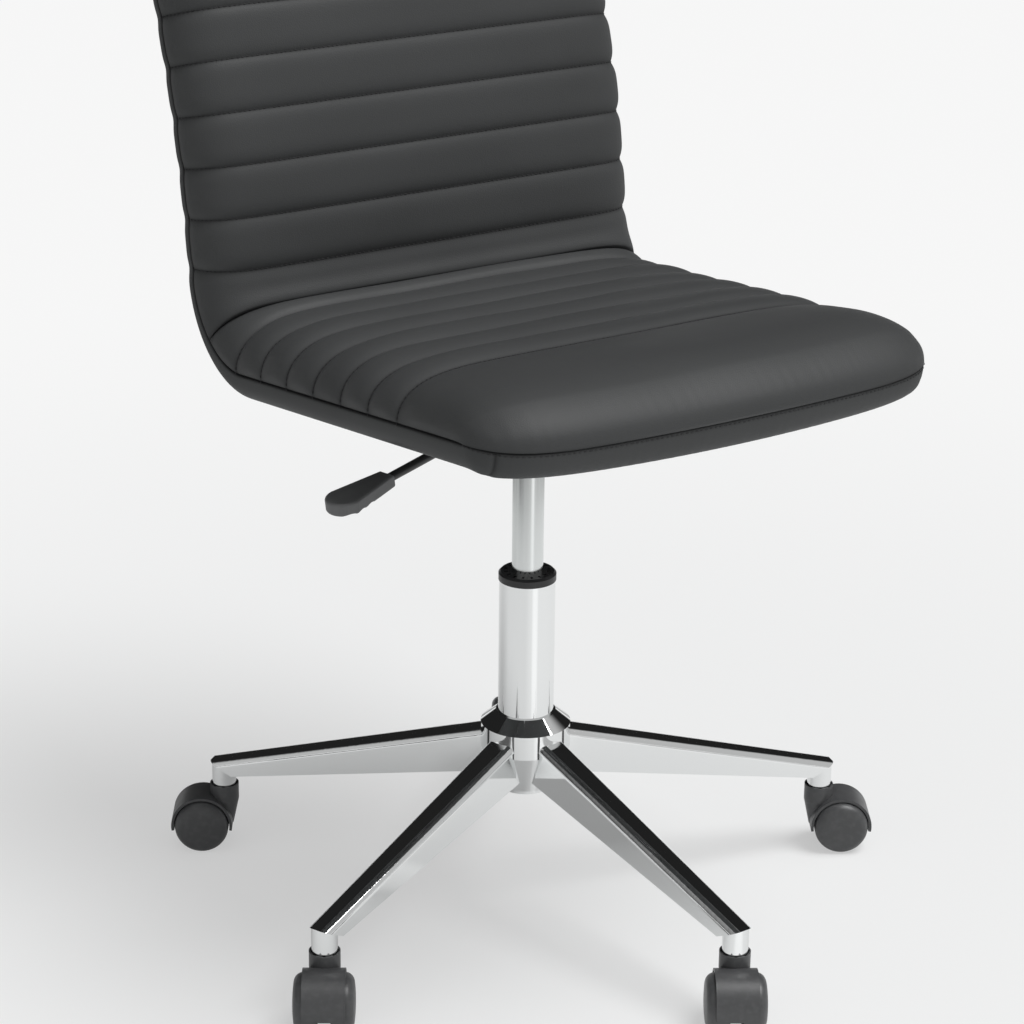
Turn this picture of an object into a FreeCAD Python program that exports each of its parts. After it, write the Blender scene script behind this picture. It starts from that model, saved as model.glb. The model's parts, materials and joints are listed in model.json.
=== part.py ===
import FreeCAD, Part
import math
import os
import re
import Sketcher
from FreeCAD import Placement, Rotation, Vector

# Armless mid-back office chair: a padded bent-plywood seat on a gas lift and a five-star caster base.
# Millimetres, +Z up, origin on the floor under the column axis. The sitter faces -Y, the lever is at -X.
# The chair is drawn with the gas lift fully out.

doc = FreeCAD.newDocument("office_chair")
sheet = doc.addObject("Spreadsheet::Sheet", "sizes")

SIZES = [
    ("arm_count", 5, "arms of the star base"),
    ("arm_first_angle", 57.6, "direction of the first arm, degrees from +X"),
    ("caster_circle", 294.0, "radius of the circle of caster stems"),
    ("hub_top", 179.0, "height of the hub's mouth"),
    ("hub_shoulder", 168.0, "height where the hub's cone meets its ring"),
    ("hub_waist", 146.0, "height of the ring's lower edge"),
    ("hub_bottom", 110.0, "height of the hub's foot"),
    ("hub_lip", 2.0, "wall of the hub's mouth round the tube"),
    ("hub_ring_wall", 15.5, "depth of the hub's ring round the tube"),
    ("hub_foot_wall", 4.8, "wall of the hub's foot round the tube"),
    ("arm_root_top", 162.5, "height of the arm's top at the hub"),
    ("arm_root_bottom", 120.0, "height of the arm's lower edge there"),
    ("arm_root_width", 28.0, "width of the arm there"),
    ("arm_tip_top", 86.0, "height of the arm's top at its outer end"),
    ("arm_tip_bottom", 70.5, "height of the arm's lower edge at its outer end"),
    ("arm_wall", 2.0, "sheet thickness of an arm"),
    ("arm_edge_radius", 7.0, "rounding along the arm's top edges"),
    ("socket_diameter", 22.4, "outside of a caster socket, and width of the arm's end"),
    ("socket_bottom", 61.2, "height of a socket's lower rim"),
    ("socket_bore", 11.0, "bore for the caster stem"),
    ("stem_headroom", 5.8, "room over a stem, under the arm's end"),
    ("stem_pin_diameter", 8.0, "pin that the caster turns on"),
    ("stem_pin_length", 21.0, "length of that pin"),
    ("stem_flange_diameter", 17.0, "flange that carries the load"),
    ("grip_ring_width", 3.0, "width of the spring ring on a stem"),
    ("grip_ring_depth", 1.2, "depth of the spring ring's groove"),
    ("wheel_diameter", 50.0, "tread of a caster wheel"),
    ("wheel_tread_width", 12.0, "straight part of the tread"),
    ("wheel_rounding", 6.8, "depth of the wheel's rounded outer edge"),
    ("wheel_boss_diameter", 13.0, "boss round the wheel's bore"),
    ("wheel_rim_wall", 4.0, "wall under the tread"),
    ("wheel_disc_wall", 5.0, "wall of the wheel's outer disc round its boss"),
    ("caster_width", 53.0, "width over the twin wheels"),
    ("caster_trail", 21.0, "offset from stem to axle"),
    ("caster_drift", 0.25, "how far the casters are left turned, as a share of the arm's angle"),
    ("caster_web", 11.0, "thickness of the web between the wheels"),
    ("wheel_side_gap", 0.5, "gap between wheel and web"),
    ("hood_width", 36.5, "width of the hood over the treads"),
    ("hood_wall", 2.5, "thickness of the hood"),
    ("hood_gap", 1.0, "gap between tread and hood"),
    ("hood_drop", 9.0, "degrees by which the hood's ends pass the axle"),
    ("cup_gap", 0.6, "gap between a socket and the cup round it"),
    ("neck_top", 62.6, "height of the neck's rim"),
    ("neck_foot_radius", 8.0, "radius of the neck's lower end"),
    ("neck_foot_height", 22.0, "height of the neck's lower end"),
    ("neck_shoulder", 47.0, "height where the neck starts to taper"),
    ("cup_wall", 1.6, "wall of the cup in the neck"),
    ("cup_depth", 5.6, "depth of the cup"),
    ("cup_notches", 8, "notches in the cup's rim"),
    ("axle_diameter", 6.0, "steel axle of the wheels"),
    ("axle_length", 40.0, "length of that axle"),
    ("running_clearance", 0.05, "radial clearance of a turning or sliding fit"),
    ("rest_gap", 0.1, "gap between faces that turn on each other"),
    ("tube_diameter", 50.0, "outside of the column tube"),
    ("tube_taper", 1.4, "taper of the tube's foot, on the radius"),
    ("tube_wall", 1.5, "wall of the column tube"),
    ("tube_top", 305.0, "height of the tube's top"),
    ("tube_bottom", 105.0, "height of the tube's foot"),
    ("tube_floor", 3.0, "thickness of the tube's floor"),
    ("tube_floor_bore", 12.0, "hole in that floor"),
    ("collar_lip", 0.75, "overhang of the bush's collar past the tube"),
    ("collar_height", 8.0, "height of the collar above the tube"),
    ("collar_slots", 16, "slots in the collar's top"),
    ("collar_slot_depth", 2.0, "depth of those slots"),
    ("bush_depth", 80.0, "length of the bush inside the tube"),
    ("gas_diameter", 28.0, "outside of the gas cylinder"),
    ("gas_wall", 1.7, "wall of the gas cylinder"),
    ("bump_gap", 4.0, "gap over the rubber stop with the lift in"),
    ("taper_length", 34.0, "length of the cylinder's tapered upper end"),
    ("gas_guide", 12.0, "length of the rod guide in its lower end"),
    ("gas_valve", 24.0, "length of the valve block in its upper end"),
    ("gas_taper", 0.7, "taper of that end, on the radius"),
    ("collar_gap", 6.0, "gap between collar and taper socket with the lift in"),
    ("taper_wall", 6.0, "wall of the taper socket"),
    ("taper_drop", 1.0, "height of the cylinder's end over its socket"),
    ("lift_travel", 105.0, "stroke of the gas lift"),
    ("rod_diameter", 10.0, "piston rod"),
    ("rod_foot_diameter", 8.0, "foot of the rod through the bearing"),
    ("rod_foot_below", 6.0, "length of the foot below the tube"),
    ("piston_height", 10.0, "height of the piston"),
    ("piston_clearance", 0.1, "radial clearance of the piston"),
    ("race_diameter", 30.0, "bearing washers"),
    ("race_thickness", 2.0, "thickness of a bearing washer"),
    ("ball_diameter", 4.0, "space for the bearing balls"),
    ("ball_count", 10, "balls in the bearing"),
    ("bump_diameter", 27.0, "rubber stop on the rod"),
    ("bump_height", 20.0, "height of the rubber stop"),
    ("clip_diameter", 16.0, "spring clip under the tube"),
    ("clip_thickness", 1.5, "thickness of the clip"),
    ("clip_groove_depth", 0.8, "depth of its groove"),
    ("pin_diameter", 8.0, "release pin of the gas lift"),
    ("pin_rise", 7.2, "height of the pin above the cylinder"),
    ("pin_hold", 12.0, "length of the pin in the cylinder"),
    ("pin_travel_room", 6.0, "room under the pin"),
    ("gas_proud", 2.9, "height of the cylinder's end over the plate's pan"),
    ("seat_slope", 6.8, "fall of the seat towards the back, degrees"),
    ("seat_width", 448.0, "width over the pads"),
    ("seat_front", 301.0, "length of the seat ahead of the column"),
    ("waterfall_start", 230.0, "length ahead of the column that stays flat"),
    ("waterfall_radius", 165.0, "radius of the front edge's bend"),
    ("seat_corner", 188.0, "length behind the column to the corner of seat and back"),
    ("bend_radius", 76.0, "radius of the bend between seat and back"),
    ("back_lean", 6.0, "lean of the back above the bend, degrees"),
    ("crest_lean", 17.0, "lean of the back's upper part, degrees"),
    ("lumbar_radius", 1000.0, "radius of the lumbar curve"),
    ("back_length", 466.0, "length of the back above the bend"),
    ("ply_thickness", 12.0, "bent plywood"),
    ("ply_inset", 20.0, "plywood's edge inside the pads' edge"),
    ("ply_corner", 60.0, "corner radius of the plywood"),
    ("back_pad_height", 48.0, "height of the back's rolls over the plywood"),
    ("seat_pad_front", 43.0, "height of the seat's rolls at its first sewn line"),
    ("seat_pad_rear", 52.0, "height of the seat's rolls beside the fold"),
    ("seat_channel_depth", 6.0, "depth of the seat's sewn channels"),
    ("back_channel_depth", 4.0, "depth of the back's sewn channels"),
    ("crease_height", 44.0, "height of the fold between seat and back"),
    ("pad_gap", 0.3, "gap between the plywood and what covers it"),
    ("seam_gap", 0.8, "gap between the pads and the covers under them"),
    ("seat_line_first", 147.0, "first sewn line, ahead of the column"),
    ("seat_line_pitch", 44.4, "distance between the seat's sewn lines"),
    ("crease_room", 45.0, "least width of the roll beside the fold"),
    ("back_line_first", 6.0, "first sewn line above the bend"),
    ("back_line_pitch", 43.5, "distance between the back's sewn lines"),
    ("flat_length", 54.0, "level stretch ahead of the first sewn line"),
    ("front_bow", 14.0, "bow of the front edge"),
    ("front_corner", 44.0, "setback of the front corners"),
    ("top_corner", 46.0, "drop of the back's top corners"),
    ("under_padding", 12.0, "padding under the plywood"),
    ("rear_padding", 5.0, "padding behind the plywood"),
    ("plate_bed", 1.0, "how far the seat plate beds into the under cover"),
    ("plate_ear", 13.0, "plate's edge outside its bolts, across"),
    ("plate_end", 25.0, "plate's edge outside its bolts, along"),
    ("plate_gauge", 2.5, "sheet thickness of the seat plate"),
    ("plate_corner", 14.0, "corner radius of the seat plate"),
    ("pan_width", 100.0, "width of the plate's pan"),
    ("pan_depth", 38.0, "depth of the plate's pan"),
    ("bolt_offset", 12.0, "seat bolts outside the pan"),
    ("bolt_along", 130.0, "seat bolts, distance along"),
    ("bolt_diameter", 6.0, "seat bolts"),
    ("bolt_head_width", 10.0, "width over the flats of their heads"),
    ("bolt_head_height", 4.0, "height of their heads"),
    ("bolt_clearance", 0.5, "radial clearance of the bolt holes"),
    ("washer_diameter", 16.0, "bolt washers"),
    ("washer_thickness", 1.5, "thickness of a washer"),
    ("nut_barrel_diameter", 8.0, "barrel of a tee nut"),
    ("nut_barrel_length", 9.0, "length of that barrel"),
    ("nut_flange_diameter", 18.0, "flange of a tee nut"),
    ("nut_flange_thickness", 1.5, "thickness of that flange"),
    ("lever_angle", 14.0, "lever's turn towards the front, degrees"),
    ("lever_dip", 8.6, "lever's fall towards its handle, degrees"),
    ("pivot_offset", 10.2, "lever pivot outside the pan"),
    ("lever_tip_reach", 241.0, "distance from column axis to the handle's end"),
    ("lever_rod_diameter", 8.0, "lever rod"),
    ("lever_overshoot", 4.0, "length of rod past the release pin"),
    ("lever_pin_gap", 1.1, "gap between rod and release pin"),
    ("handle_length", 67.0, "length of the lever's handle"),
    ("handle_neck_width", 16.0, "width of its neck"),
    ("handle_width", 33.0, "width of its round end"),
    ("handle_thickness", 12.0, "thickness of the handle"),
    ("handle_rounding", 2.5, "rounding of the handle's edges"),
    ("handle_hold", 17.0, "length of rod inside the handle"),
    ("finger_radius", 9.0, "radius of the finger grooves under the handle"),
    ("finger_depth", 2.2, "depth of those grooves"),
    ("finger_pitch", 12.0, "distance between them"),
    ("pivot_diameter", 4.0, "pivot pin of the lever"),
    ("bracket_gauge", 2.0, "cheeks of the lever bracket"),
    ("bracket_slack", 0.4, "gap between rod and cheeks"),
    ("bracket_height", 16.0, "height of the lever bracket"),
    ("bracket_reach", 7.0, "length of the cheeks past the pivot"),
    ("bracket_window", 11.0, "window for the rod in bracket and plate"),
]

for row, (alias, number, meaning) in enumerate(SIZES, start=1):
    sheet.set("A%d" % row, meaning)
    sheet.set("B%d" % row, str(number))
    sheet.setAlias("B%d" % row, alias)
doc.recompute()


def value(formula):
    """The number that a formula of cell names gives."""
    return float(sheet.evalExpression(formula))


def bind(formula):
    """The same formula with each cell name pointing at the sheet."""
    return re.sub(r"[a-z]+(?:_[a-z]+)+", lambda word: "sizes." + word.group(), formula)


# Bodies, sketches and features

def new_body(label):
    body = doc.addObject("PartDesign::Body", label)
    body.Label = label
    return body


def origin_feature(body, role):
    return next(feature for feature in body.Origin.OriginFeatures if feature.Role == role)


def new_sketch(body, role, lift):
    sketch = body.newObject("Sketcher::SketchObject", body.Name + "_sketch")
    sketch.AttachmentSupport = [(origin_feature(body, role), "")]
    sketch.MapMode = "FlatFace"
    if lift != "0":
        sketch.setExpression("AttachmentOffset.Base.z", bind(lift))
    return sketch


def arc_between(start, end, radius, side):
    """Short arc from start to end whose centre lies on the given side of the way there."""
    chord = end - start
    middle = (start + end) * 0.5
    across = Vector(-chord.y, chord.x, 0).normalize()
    rise = math.sqrt(max(radius ** 2 - (chord.Length / 2) ** 2, 0))
    centre = middle + across * (rise if side == "left" else -rise)
    first, last = (start, end) if side == "left" else (end, start)
    angles = [math.atan2(point.y - centre.y, point.x - centre.x) for point in (first, last)]
    circle = Part.Circle(centre, Vector(0, 0, 1), radius)
    return Part.ArcOfCircle(circle, angles[0], angles[1])


def outline(body, role, points, lift="0"):
    """Closed outline. A point is (x, y), or (x, y, radius, side) where an arc leads to it."""
    sketch = new_sketch(body, role, lift)
    places = [Vector(value(point[0]), value(point[1]), 0) for point in points]
    edges = []
    ends = []
    constraints = []
    formulas = []
    for index, point in enumerate(points):
        start = places[index - 1]
        if len(point) == 2:
            edges.append(Part.LineSegment(start, places[index]))
            ends.append((1, 2))
        else:
            edges.append(arc_between(start, places[index], value(point[2]), point[3]))
            ends.append((1, 2) if point[3] == "left" else (2, 1))
    for index, point in enumerate(points):
        following = (index + 1) % len(points)
        corner = (index, ends[index][1])
        constraints.append(Sketcher.Constraint("Coincident", *corner, following, ends[following][0]))
        formulas.append(None)
        constraints.append(Sketcher.Constraint("DistanceX", -1, 1, *corner, places[index].x))
        formulas.append(point[0])
        constraints.append(Sketcher.Constraint("DistanceY", -1, 1, *corner, places[index].y))
        formulas.append(point[1])
        if len(point) == 4:
            constraints.append(Sketcher.Constraint("Radius", index, value(point[2])))
            formulas.append(point[2])
    sketch.addGeometry(edges)
    sketch.addConstraint(constraints)
    for number, formula in enumerate(formulas):
        if formula:
            sketch.setExpression("Constraints[%d]" % number, bind(formula))
    return sketch


def circles(body, role, places, radius, lift="0"):
    """Equal circles at the given (x, y) places."""
    sketch = new_sketch(body, role, lift)
    for index, (x, y) in enumerate(places):
        centre = Vector(value(x), value(y), 0)
        sketch.addGeometry(Part.Circle(centre, Vector(0, 0, 1), value(radius)))
        sketch.addConstraint([
            Sketcher.Constraint("DistanceX", -1, 1, index, 3, centre.x),
            Sketcher.Constraint("DistanceY", -1, 1, index, 3, centre.y),
            Sketcher.Constraint("Radius", index, value(radius)),
        ])
        for step, formula in enumerate((x, y, radius)):
            sketch.setExpression("Constraints[%d]" % (3 * index + step), bind(formula))
    return sketch


def revolve(body, points):
    """Solid of revolution about the body's Z axis from an outline of (radius, height) points."""
    sketch = outline(body, "XZ_Plane", points)
    feature = body.newObject("PartDesign::Revolution", body.Name + "_revolve")
    feature.Profile = sketch
    feature.ReferenceAxis = (sketch, ["V_Axis"])
    feature.Angle = 360
    doc.recompute()
    return feature


def pad(body, sketch, length, both_ways=False):
    feature = body.newObject("PartDesign::Pad", body.Name + "_pad")
    feature.Profile = sketch
    feature.SideType = "Symmetric" if both_ways else "One side"
    feature.setExpression("Length", bind(length))
    doc.recompute()
    return feature


def pocket(body, sketch, length=None):
    """Cut along the sketch's normal, or right through both ways where no length is given."""
    before = body.Shape.Volume
    feature = body.newObject("PartDesign::Pocket", body.Name + "_pocket")
    feature.Profile = sketch
    if length is None:
        feature.SideType = "Symmetric"
        feature.Type = "ThroughAll"
    else:
        feature.setExpression("Length", bind(length))
    doc.recompute()
    if not body.Shape.Volume < before:
        raise RuntimeError("nothing was cut from " + body.Label)
    return feature


def polar_pattern(body, original, count):
    feature = body.newObject("PartDesign::PolarPattern", body.Name + "_ring")
    feature.Originals = [original]
    feature.Axis = (origin_feature(body, "Z_Axis"), [""])
    feature.Angle = 360
    feature.setExpression("Occurrences", bind(count))
    body.Tip = feature
    doc.recompute()


def linear_pattern(body, original, role, length, count):
    feature = body.newObject("PartDesign::LinearPattern", body.Name + "_row")
    feature.Originals = [original]
    feature.Direction = (origin_feature(body, role), [""])
    feature.setExpression("Length", bind(length))
    feature.setExpression("Occurrences", bind(count))
    body.Tip = feature
    doc.recompute()


def fillet(body, chosen, radius):
    """Round those edges of the body's last feature for which chosen(edge) is true."""
    base = body.Tip
    names = ["Edge%d" % (n + 1) for n, edge in enumerate(base.Shape.Edges) if chosen(edge)]
    feature = body.newObject("PartDesign::Fillet", body.Name + "_rounding")
    feature.Base = (base, names)
    feature.setExpression("Radius", bind(radius))
    doc.recompute()


def cut(label, base, tool):
    feature = doc.addObject("Part::Cut", label)
    feature.Label = label
    feature.Base = base
    feature.Tool = tool
    doc.recompute()
    return feature


def free_shape(label, shape, placement=Placement()):
    feature = doc.addObject("Part::Feature", label)
    feature.Label = label
    feature.Shape = shape
    feature.Placement = placement
    return feature


def cylinder(label, radius, height, placement):
    feature = doc.addObject("Part::Cylinder", label)
    feature.Label = label
    feature.setExpression("Radius", bind(radius))
    feature.setExpression("Height", bind(height))
    feature.Placement = placement
    return feature


nodes = []


def keep(feature):
    nodes.append(feature)
    return feature


def turn_z(angle):
    return Placement(Vector(), Rotation(Vector(0, 0, 1), angle))


def shift(x, y, z):
    return Placement(Vector(x, y, z), Rotation())


# Star base

TUBE_FOOT = "(tube_diameter / 2 - tube_taper)"
HUB_FOOT_BORE = TUBE_FOOT + " + tube_taper * (hub_bottom - tube_bottom) / (hub_top - tube_bottom)"
HUB_WALL = [
    ("tube_diameter / 2 + hub_lip", "hub_top"),
    ("tube_diameter / 2 + hub_ring_wall", "hub_shoulder"),
    ("tube_diameter / 2 + hub_ring_wall", "hub_waist"),
    (HUB_FOOT_BORE + " + hub_foot_wall", "hub_bottom"),
]
ARM_ROOT = "(tube_diameter / 2 + hub_lip / 2)"
ARM_END = "caster_circle + socket_diameter / 2"
MITRE_INSIDE = ("arm_tip_bottom + (arm_root_bottom - arm_tip_bottom) * socket_diameter"
                " / (caster_circle + socket_diameter / 2 - tube_diameter / 2 - hub_lip / 2)")


def make_hub():
    hub = new_body("base_hub")
    bore = [(HUB_FOOT_BORE, "hub_bottom"), ("tube_diameter / 2", "hub_top")]
    revolve(hub, bore + HUB_WALL)
    return hub


def make_hub_core():
    """The hub without its bore, which trims the arms to the hub's wall."""
    core = new_body("hub_core")
    revolve(core, [("0", "hub_bottom"), ("0", "hub_top")] + HUB_WALL)
    return core


def arm_section(body, lift, width, top, bottom, radius):
    half = "(%s) / 2" % width
    points = [
        ("-" + half, bottom),
        (half, bottom),
        (half, "%s - (%s)" % (top, radius)),
        ("%s - (%s)" % (half, radius), top, radius, "left"),
        ("(%s) - %s" % (radius, half), top),
        ("-" + half, "%s - (%s)" % (top, radius), radius, "left"),
    ]
    return outline(body, "YZ_Plane", points, lift)


def arm_loft(body, kind, root, tip):
    feature = body.newObject("PartDesign::" + kind, body.Name + "_loft")
    feature.Profile = root
    feature.Sections = [tip]
    feature.Ruled = True
    doc.recompute()


def make_arm(number, placement, core):
    """Pressed channel, open below, that narrows towards a mitred end over the caster socket."""
    body = new_body("arm_channel_%d" % number)
    arm_loft(
        body, "AdditiveLoft",
        arm_section(body, ARM_ROOT, "arm_root_width", "arm_root_top", "arm_root_bottom",
                    "arm_edge_radius"),
        arm_section(body, ARM_END, "socket_diameter", "arm_tip_top", "arm_tip_bottom", "arm_edge_radius"))
    arm_loft(
        body, "SubtractiveLoft",
        arm_section(body, ARM_ROOT, "arm_root_width - 2 * arm_wall", "arm_root_top - arm_wall",
                    "arm_root_bottom - arm_wall", "arm_edge_radius - arm_wall"),
        arm_section(body, ARM_END, "socket_diameter - 2 * arm_wall", "arm_tip_top - arm_wall",
                    "arm_tip_bottom - arm_wall", "arm_edge_radius - arm_wall"))
    pocket(body, outline(body, "XZ_Plane", [
        (ARM_END + " + arm_wall", "arm_tip_top + arm_wall"),
        (ARM_END, "arm_tip_top"),
        ("caster_circle - socket_diameter / 2", MITRE_INSIDE),
        ("caster_circle - socket_diameter / 2", "socket_bottom"),
        (ARM_END + " + arm_wall", "socket_bottom"),
    ]))
    body.Placement = placement
    return cut("base_arm_%d" % number, body, core)


def make_socket(number, placement):
    """Caster socket, cut off on the slant under the arm's end."""
    body = new_body("caster_socket_%d" % number)
    revolve(body, [
        ("socket_bore / 2", "socket_bottom"),
        ("socket_diameter / 2", "socket_bottom"),
        ("socket_diameter / 2", "arm_tip_top"),
        ("socket_bore / 2", "arm_tip_top"),
    ])
    pocket(body, outline(body, "XZ_Plane", [
        ("socket_diameter / 2", "arm_tip_top"),
        ("socket_diameter / 2", "arm_tip_top + arm_wall"),
        ("-socket_diameter / 2 - arm_wall", "arm_tip_top + arm_wall"),
        ("-socket_diameter / 2 - arm_wall", MITRE_INSIDE),
        ("-socket_diameter / 2", MITRE_INSIDE),
    ]))
    body.Placement = placement
    return body


# Casters

CUP_FLOOR = "neck_top - cup_depth"
FLANGE_BOTTOM = CUP_FLOOR + " + rest_gap"
STEM_TOP = "arm_tip_top - arm_wall - stem_headroom"
GRIP_GROOVE = "(socket_bottom + arm_tip_top - arm_wall - stem_headroom) / 2"
NECK_RADIUS = "(socket_diameter / 2 + cup_gap + cup_wall)"
AXLE_HEIGHT = "wheel_diameter / 2"
HOOD_INSIDE = "(wheel_diameter / 2 + hood_gap)"
HOOD_OUTSIDE = "(wheel_diameter / 2 + hood_gap + hood_wall)"
HOOD_ACROSS = "cos(hood_drop * 1 deg)"
HOOD_DOWN = "sin(hood_drop * 1 deg)"


def make_stem():
    """Stem in the base: grip end above, load flange, and the pin that the caster turns on."""
    stem = new_body("stem_blank")
    grip = "socket_bore / 2 - running_clearance"
    revolve(stem, [
        ("0", CUP_FLOOR + " - stem_pin_length"),
        ("stem_pin_diameter / 2", CUP_FLOOR + " - stem_pin_length"),
        ("stem_pin_diameter / 2", FLANGE_BOTTOM),
        ("stem_flange_diameter / 2", FLANGE_BOTTOM),
        ("stem_flange_diameter / 2", "socket_bottom"),
        (grip, "socket_bottom"),
        (grip, GRIP_GROOVE),
        (grip + " - grip_ring_depth", GRIP_GROOVE),
        (grip + " - grip_ring_depth", GRIP_GROOVE + " + grip_ring_width"),
        (grip, GRIP_GROOVE + " + grip_ring_width"),
        (grip, STEM_TOP),
        ("0", STEM_TOP),
    ])
    return stem


def make_grip_ring():
    ring = new_body("grip_ring_blank")
    inside = "socket_bore / 2 - running_clearance - grip_ring_depth"
    revolve(ring, [
        (inside, GRIP_GROOVE),
        ("socket_bore / 2", GRIP_GROOVE),
        ("socket_bore / 2", GRIP_GROOVE + " + grip_ring_width"),
        (inside, GRIP_GROOVE + " + grip_ring_width"),
    ])
    return ring


def make_hood(number, placement):
    """Caster body: hood over both treads, web with the axle, and the neck with its cup."""
    body = new_body("caster_hood_%d" % number)
    side = "caster_trail %s {0} * " + HOOD_ACROSS
    end_height = AXLE_HEIGHT + " - {0} * " + HOOD_DOWN
    strip = outline(body, "XZ_Plane", [
        ((side % "+").format(HOOD_OUTSIDE), end_height.format(HOOD_OUTSIDE)),
        ("caster_trail", AXLE_HEIGHT + " + " + HOOD_OUTSIDE, HOOD_OUTSIDE, "left"),
        ((side % "-").format(HOOD_OUTSIDE), end_height.format(HOOD_OUTSIDE), HOOD_OUTSIDE, "left"),
        ((side % "-").format(HOOD_INSIDE), end_height.format(HOOD_INSIDE)),
        ("caster_trail", AXLE_HEIGHT + " + " + HOOD_INSIDE, HOOD_INSIDE, "right"),
        ((side % "+").format(HOOD_INSIDE), end_height.format(HOOD_INSIDE), HOOD_INSIDE, "right"),
    ])
    pad(body, strip, "hood_width", both_ways=True)
    revolve(body, [
        ("0", "neck_foot_height"),
        ("neck_foot_radius", "neck_foot_height"),
        (NECK_RADIUS, "neck_shoulder"),
        (NECK_RADIUS, "neck_top"),
        ("0", "neck_top"),
    ])
    pocket(body, circles(body, "XZ_Plane", [("caster_trail", AXLE_HEIGHT)], HOOD_INSIDE))
    web_edge = "(%s + hood_wall / 2)" % HOOD_INSIDE
    web = outline(body, "XZ_Plane", [
        ("caster_trail + " + web_edge, AXLE_HEIGHT),
        ("caster_trail", AXLE_HEIGHT + " + " + web_edge, web_edge, "left"),
        ("caster_trail - " + web_edge, AXLE_HEIGHT, web_edge, "left"),
        ("caster_trail - axle_diameter", AXLE_HEIGHT + " - 1.5 * axle_diameter"),
        ("caster_trail + axle_diameter", AXLE_HEIGHT + " - 1.5 * axle_diameter"),
    ])
    pad(body, web, "caster_web", both_ways=True)
    pocket(body, circles(body, "XY_Plane", [("0", "0")], NECK_RADIUS + " - cup_wall", "neck_top"),
           "cup_depth")
    pocket(body, circles(body, "XY_Plane", [("0", "0")], "stem_pin_diameter / 2 + running_clearance",
                         CUP_FLOOR), "stem_pin_length + rest_gap")
    pocket(body, circles(body, "XZ_Plane", [("caster_trail", AXLE_HEIGHT)], "axle_diameter / 2"))
    notch = outline(body, "XY_Plane", [
        (NECK_RADIUS + " - 2 * cup_wall", "cup_wall"),
        (NECK_RADIUS + " - 2 * cup_wall", "-cup_wall"),
        (NECK_RADIUS + " - cup_wall / 2", "-cup_wall"),
        (NECK_RADIUS + " - cup_wall / 2", "cup_wall"),
    ], "neck_top")
    polar_pattern(body, pocket(body, notch, "cup_depth / 2"), "cup_notches")
    body.Placement = placement
    return body


def make_wheel(label, placement):
    """Wheel with a domed outer disc, a boss on the axle and a hollow inner side."""
    body = new_body(label)
    inner = "caster_web / 2 + wheel_side_gap"
    tread = "wheel_diameter / 2"
    bore = "axle_diameter / 2 + running_clearance"
    tread_end = inner + " + wheel_tread_width"
    face = "caster_width / 2"
    dome_edge = "wheel_diameter / 2 - wheel_rounding"
    hollow_floor = face + " - wheel_disc_wall - wheel_rim_wall"
    hollow_edge = "wheel_diameter / 2 - wheel_rim_wall"
    revolve(body, [
        (bore, inner),
        ("wheel_boss_diameter / 2", inner),
        ("wheel_boss_diameter / 2", hollow_floor),
        (hollow_edge, hollow_floor),
        (hollow_edge, inner),
        (tread, inner),
        (tread, tread_end),
        (dome_edge, face + " - wheel_side_gap * 2", "caster_width / 2 - (%s)" % tread_end, "left"),
        ("wheel_boss_diameter / 2", face, "caster_width * 2", "left"),
        ("0", face),
        ("0", "axle_length / 2 + wheel_side_gap"),
        (bore, "axle_length / 2 + wheel_side_gap"),
    ])
    body.Placement = placement
    return body


# Column and gas lift

RACE_BOTTOM = "tube_bottom + tube_floor"
BALL_BOTTOM = RACE_BOTTOM + " + race_thickness"
UPPER_RACE = BALL_BOTTOM + " + ball_diameter"
ROD_SHOULDER = UPPER_RACE + " + race_thickness"
FOOT_BORE = "rod_foot_diameter / 2 + running_clearance"
CLIP_TOP = "tube_bottom - rest_gap"
GAS_INSIDE = "gas_diameter / 2 - gas_wall"
GAS_BOTTOM = ROD_SHOULDER + " + bump_height + bump_gap + lift_travel"
TAPER_BOTTOM = "tube_top + collar_height + collar_gap + lift_travel"
GAS_TOP = TAPER_BOTTOM + " + taper_length"
PISTON_BOTTOM = GAS_BOTTOM + " + gas_guide + rest_gap"
TAPER_OUTSIDE = "gas_diameter / 2 + taper_wall"


def make_tube():
    """Column tube with a tapered foot in the hub and a floor that carries the bearing."""
    tube = new_body("column_tube")
    revolve(tube, [
        ("tube_floor_bore / 2", "tube_bottom"),
        (TUBE_FOOT, "tube_bottom"),
        ("tube_diameter / 2", "hub_top"),
        ("tube_diameter / 2", "tube_top"),
        ("tube_diameter / 2 - tube_wall", "tube_top"),
        ("tube_diameter / 2 - tube_wall", "hub_top"),
        (TUBE_FOOT + " - tube_wall", RACE_BOTTOM),
        ("tube_floor_bore / 2", RACE_BOTTOM),
    ])
    return tube


def make_bush():
    """Plastic guide in the tube's top, with a slotted collar that shows above the tube."""
    bush = new_body("column_bush")
    bore = "gas_diameter / 2 + running_clearance"
    top = "tube_top + collar_height"
    edge = "tube_diameter / 2 + collar_lip"
    revolve(bush, [
        (bore, "tube_top - bush_depth"),
        ("tube_diameter / 2 - tube_wall", "tube_top - bush_depth"),
        ("tube_diameter / 2 - tube_wall", "tube_top"),
        (edge, "tube_top"),
        (edge, top + " - collar_height / 4"),
        (edge + " - collar_height / 4", top),
        (bore, top),
    ])
    middle = "(gas_diameter + tube_diameter) / 4"
    slot = outline(bush, "XY_Plane", [
        (middle + " - collar_slot_depth", "-collar_slot_depth / 2"),
        (middle + " + collar_slot_depth", "-collar_slot_depth / 2"),
        (middle + " + collar_slot_depth", "collar_slot_depth / 2"),
        (middle + " - collar_slot_depth", "collar_slot_depth / 2"),
    ], top)
    polar_pattern(bush, pocket(bush, slot, "collar_slot_depth"), "collar_slots")
    return bush


def make_ring(label, inside, outside, bottom, top):
    ring = new_body(label)
    revolve(ring, [(inside, bottom), (outside, bottom), (outside, top), (inside, top)])
    return ring


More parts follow.
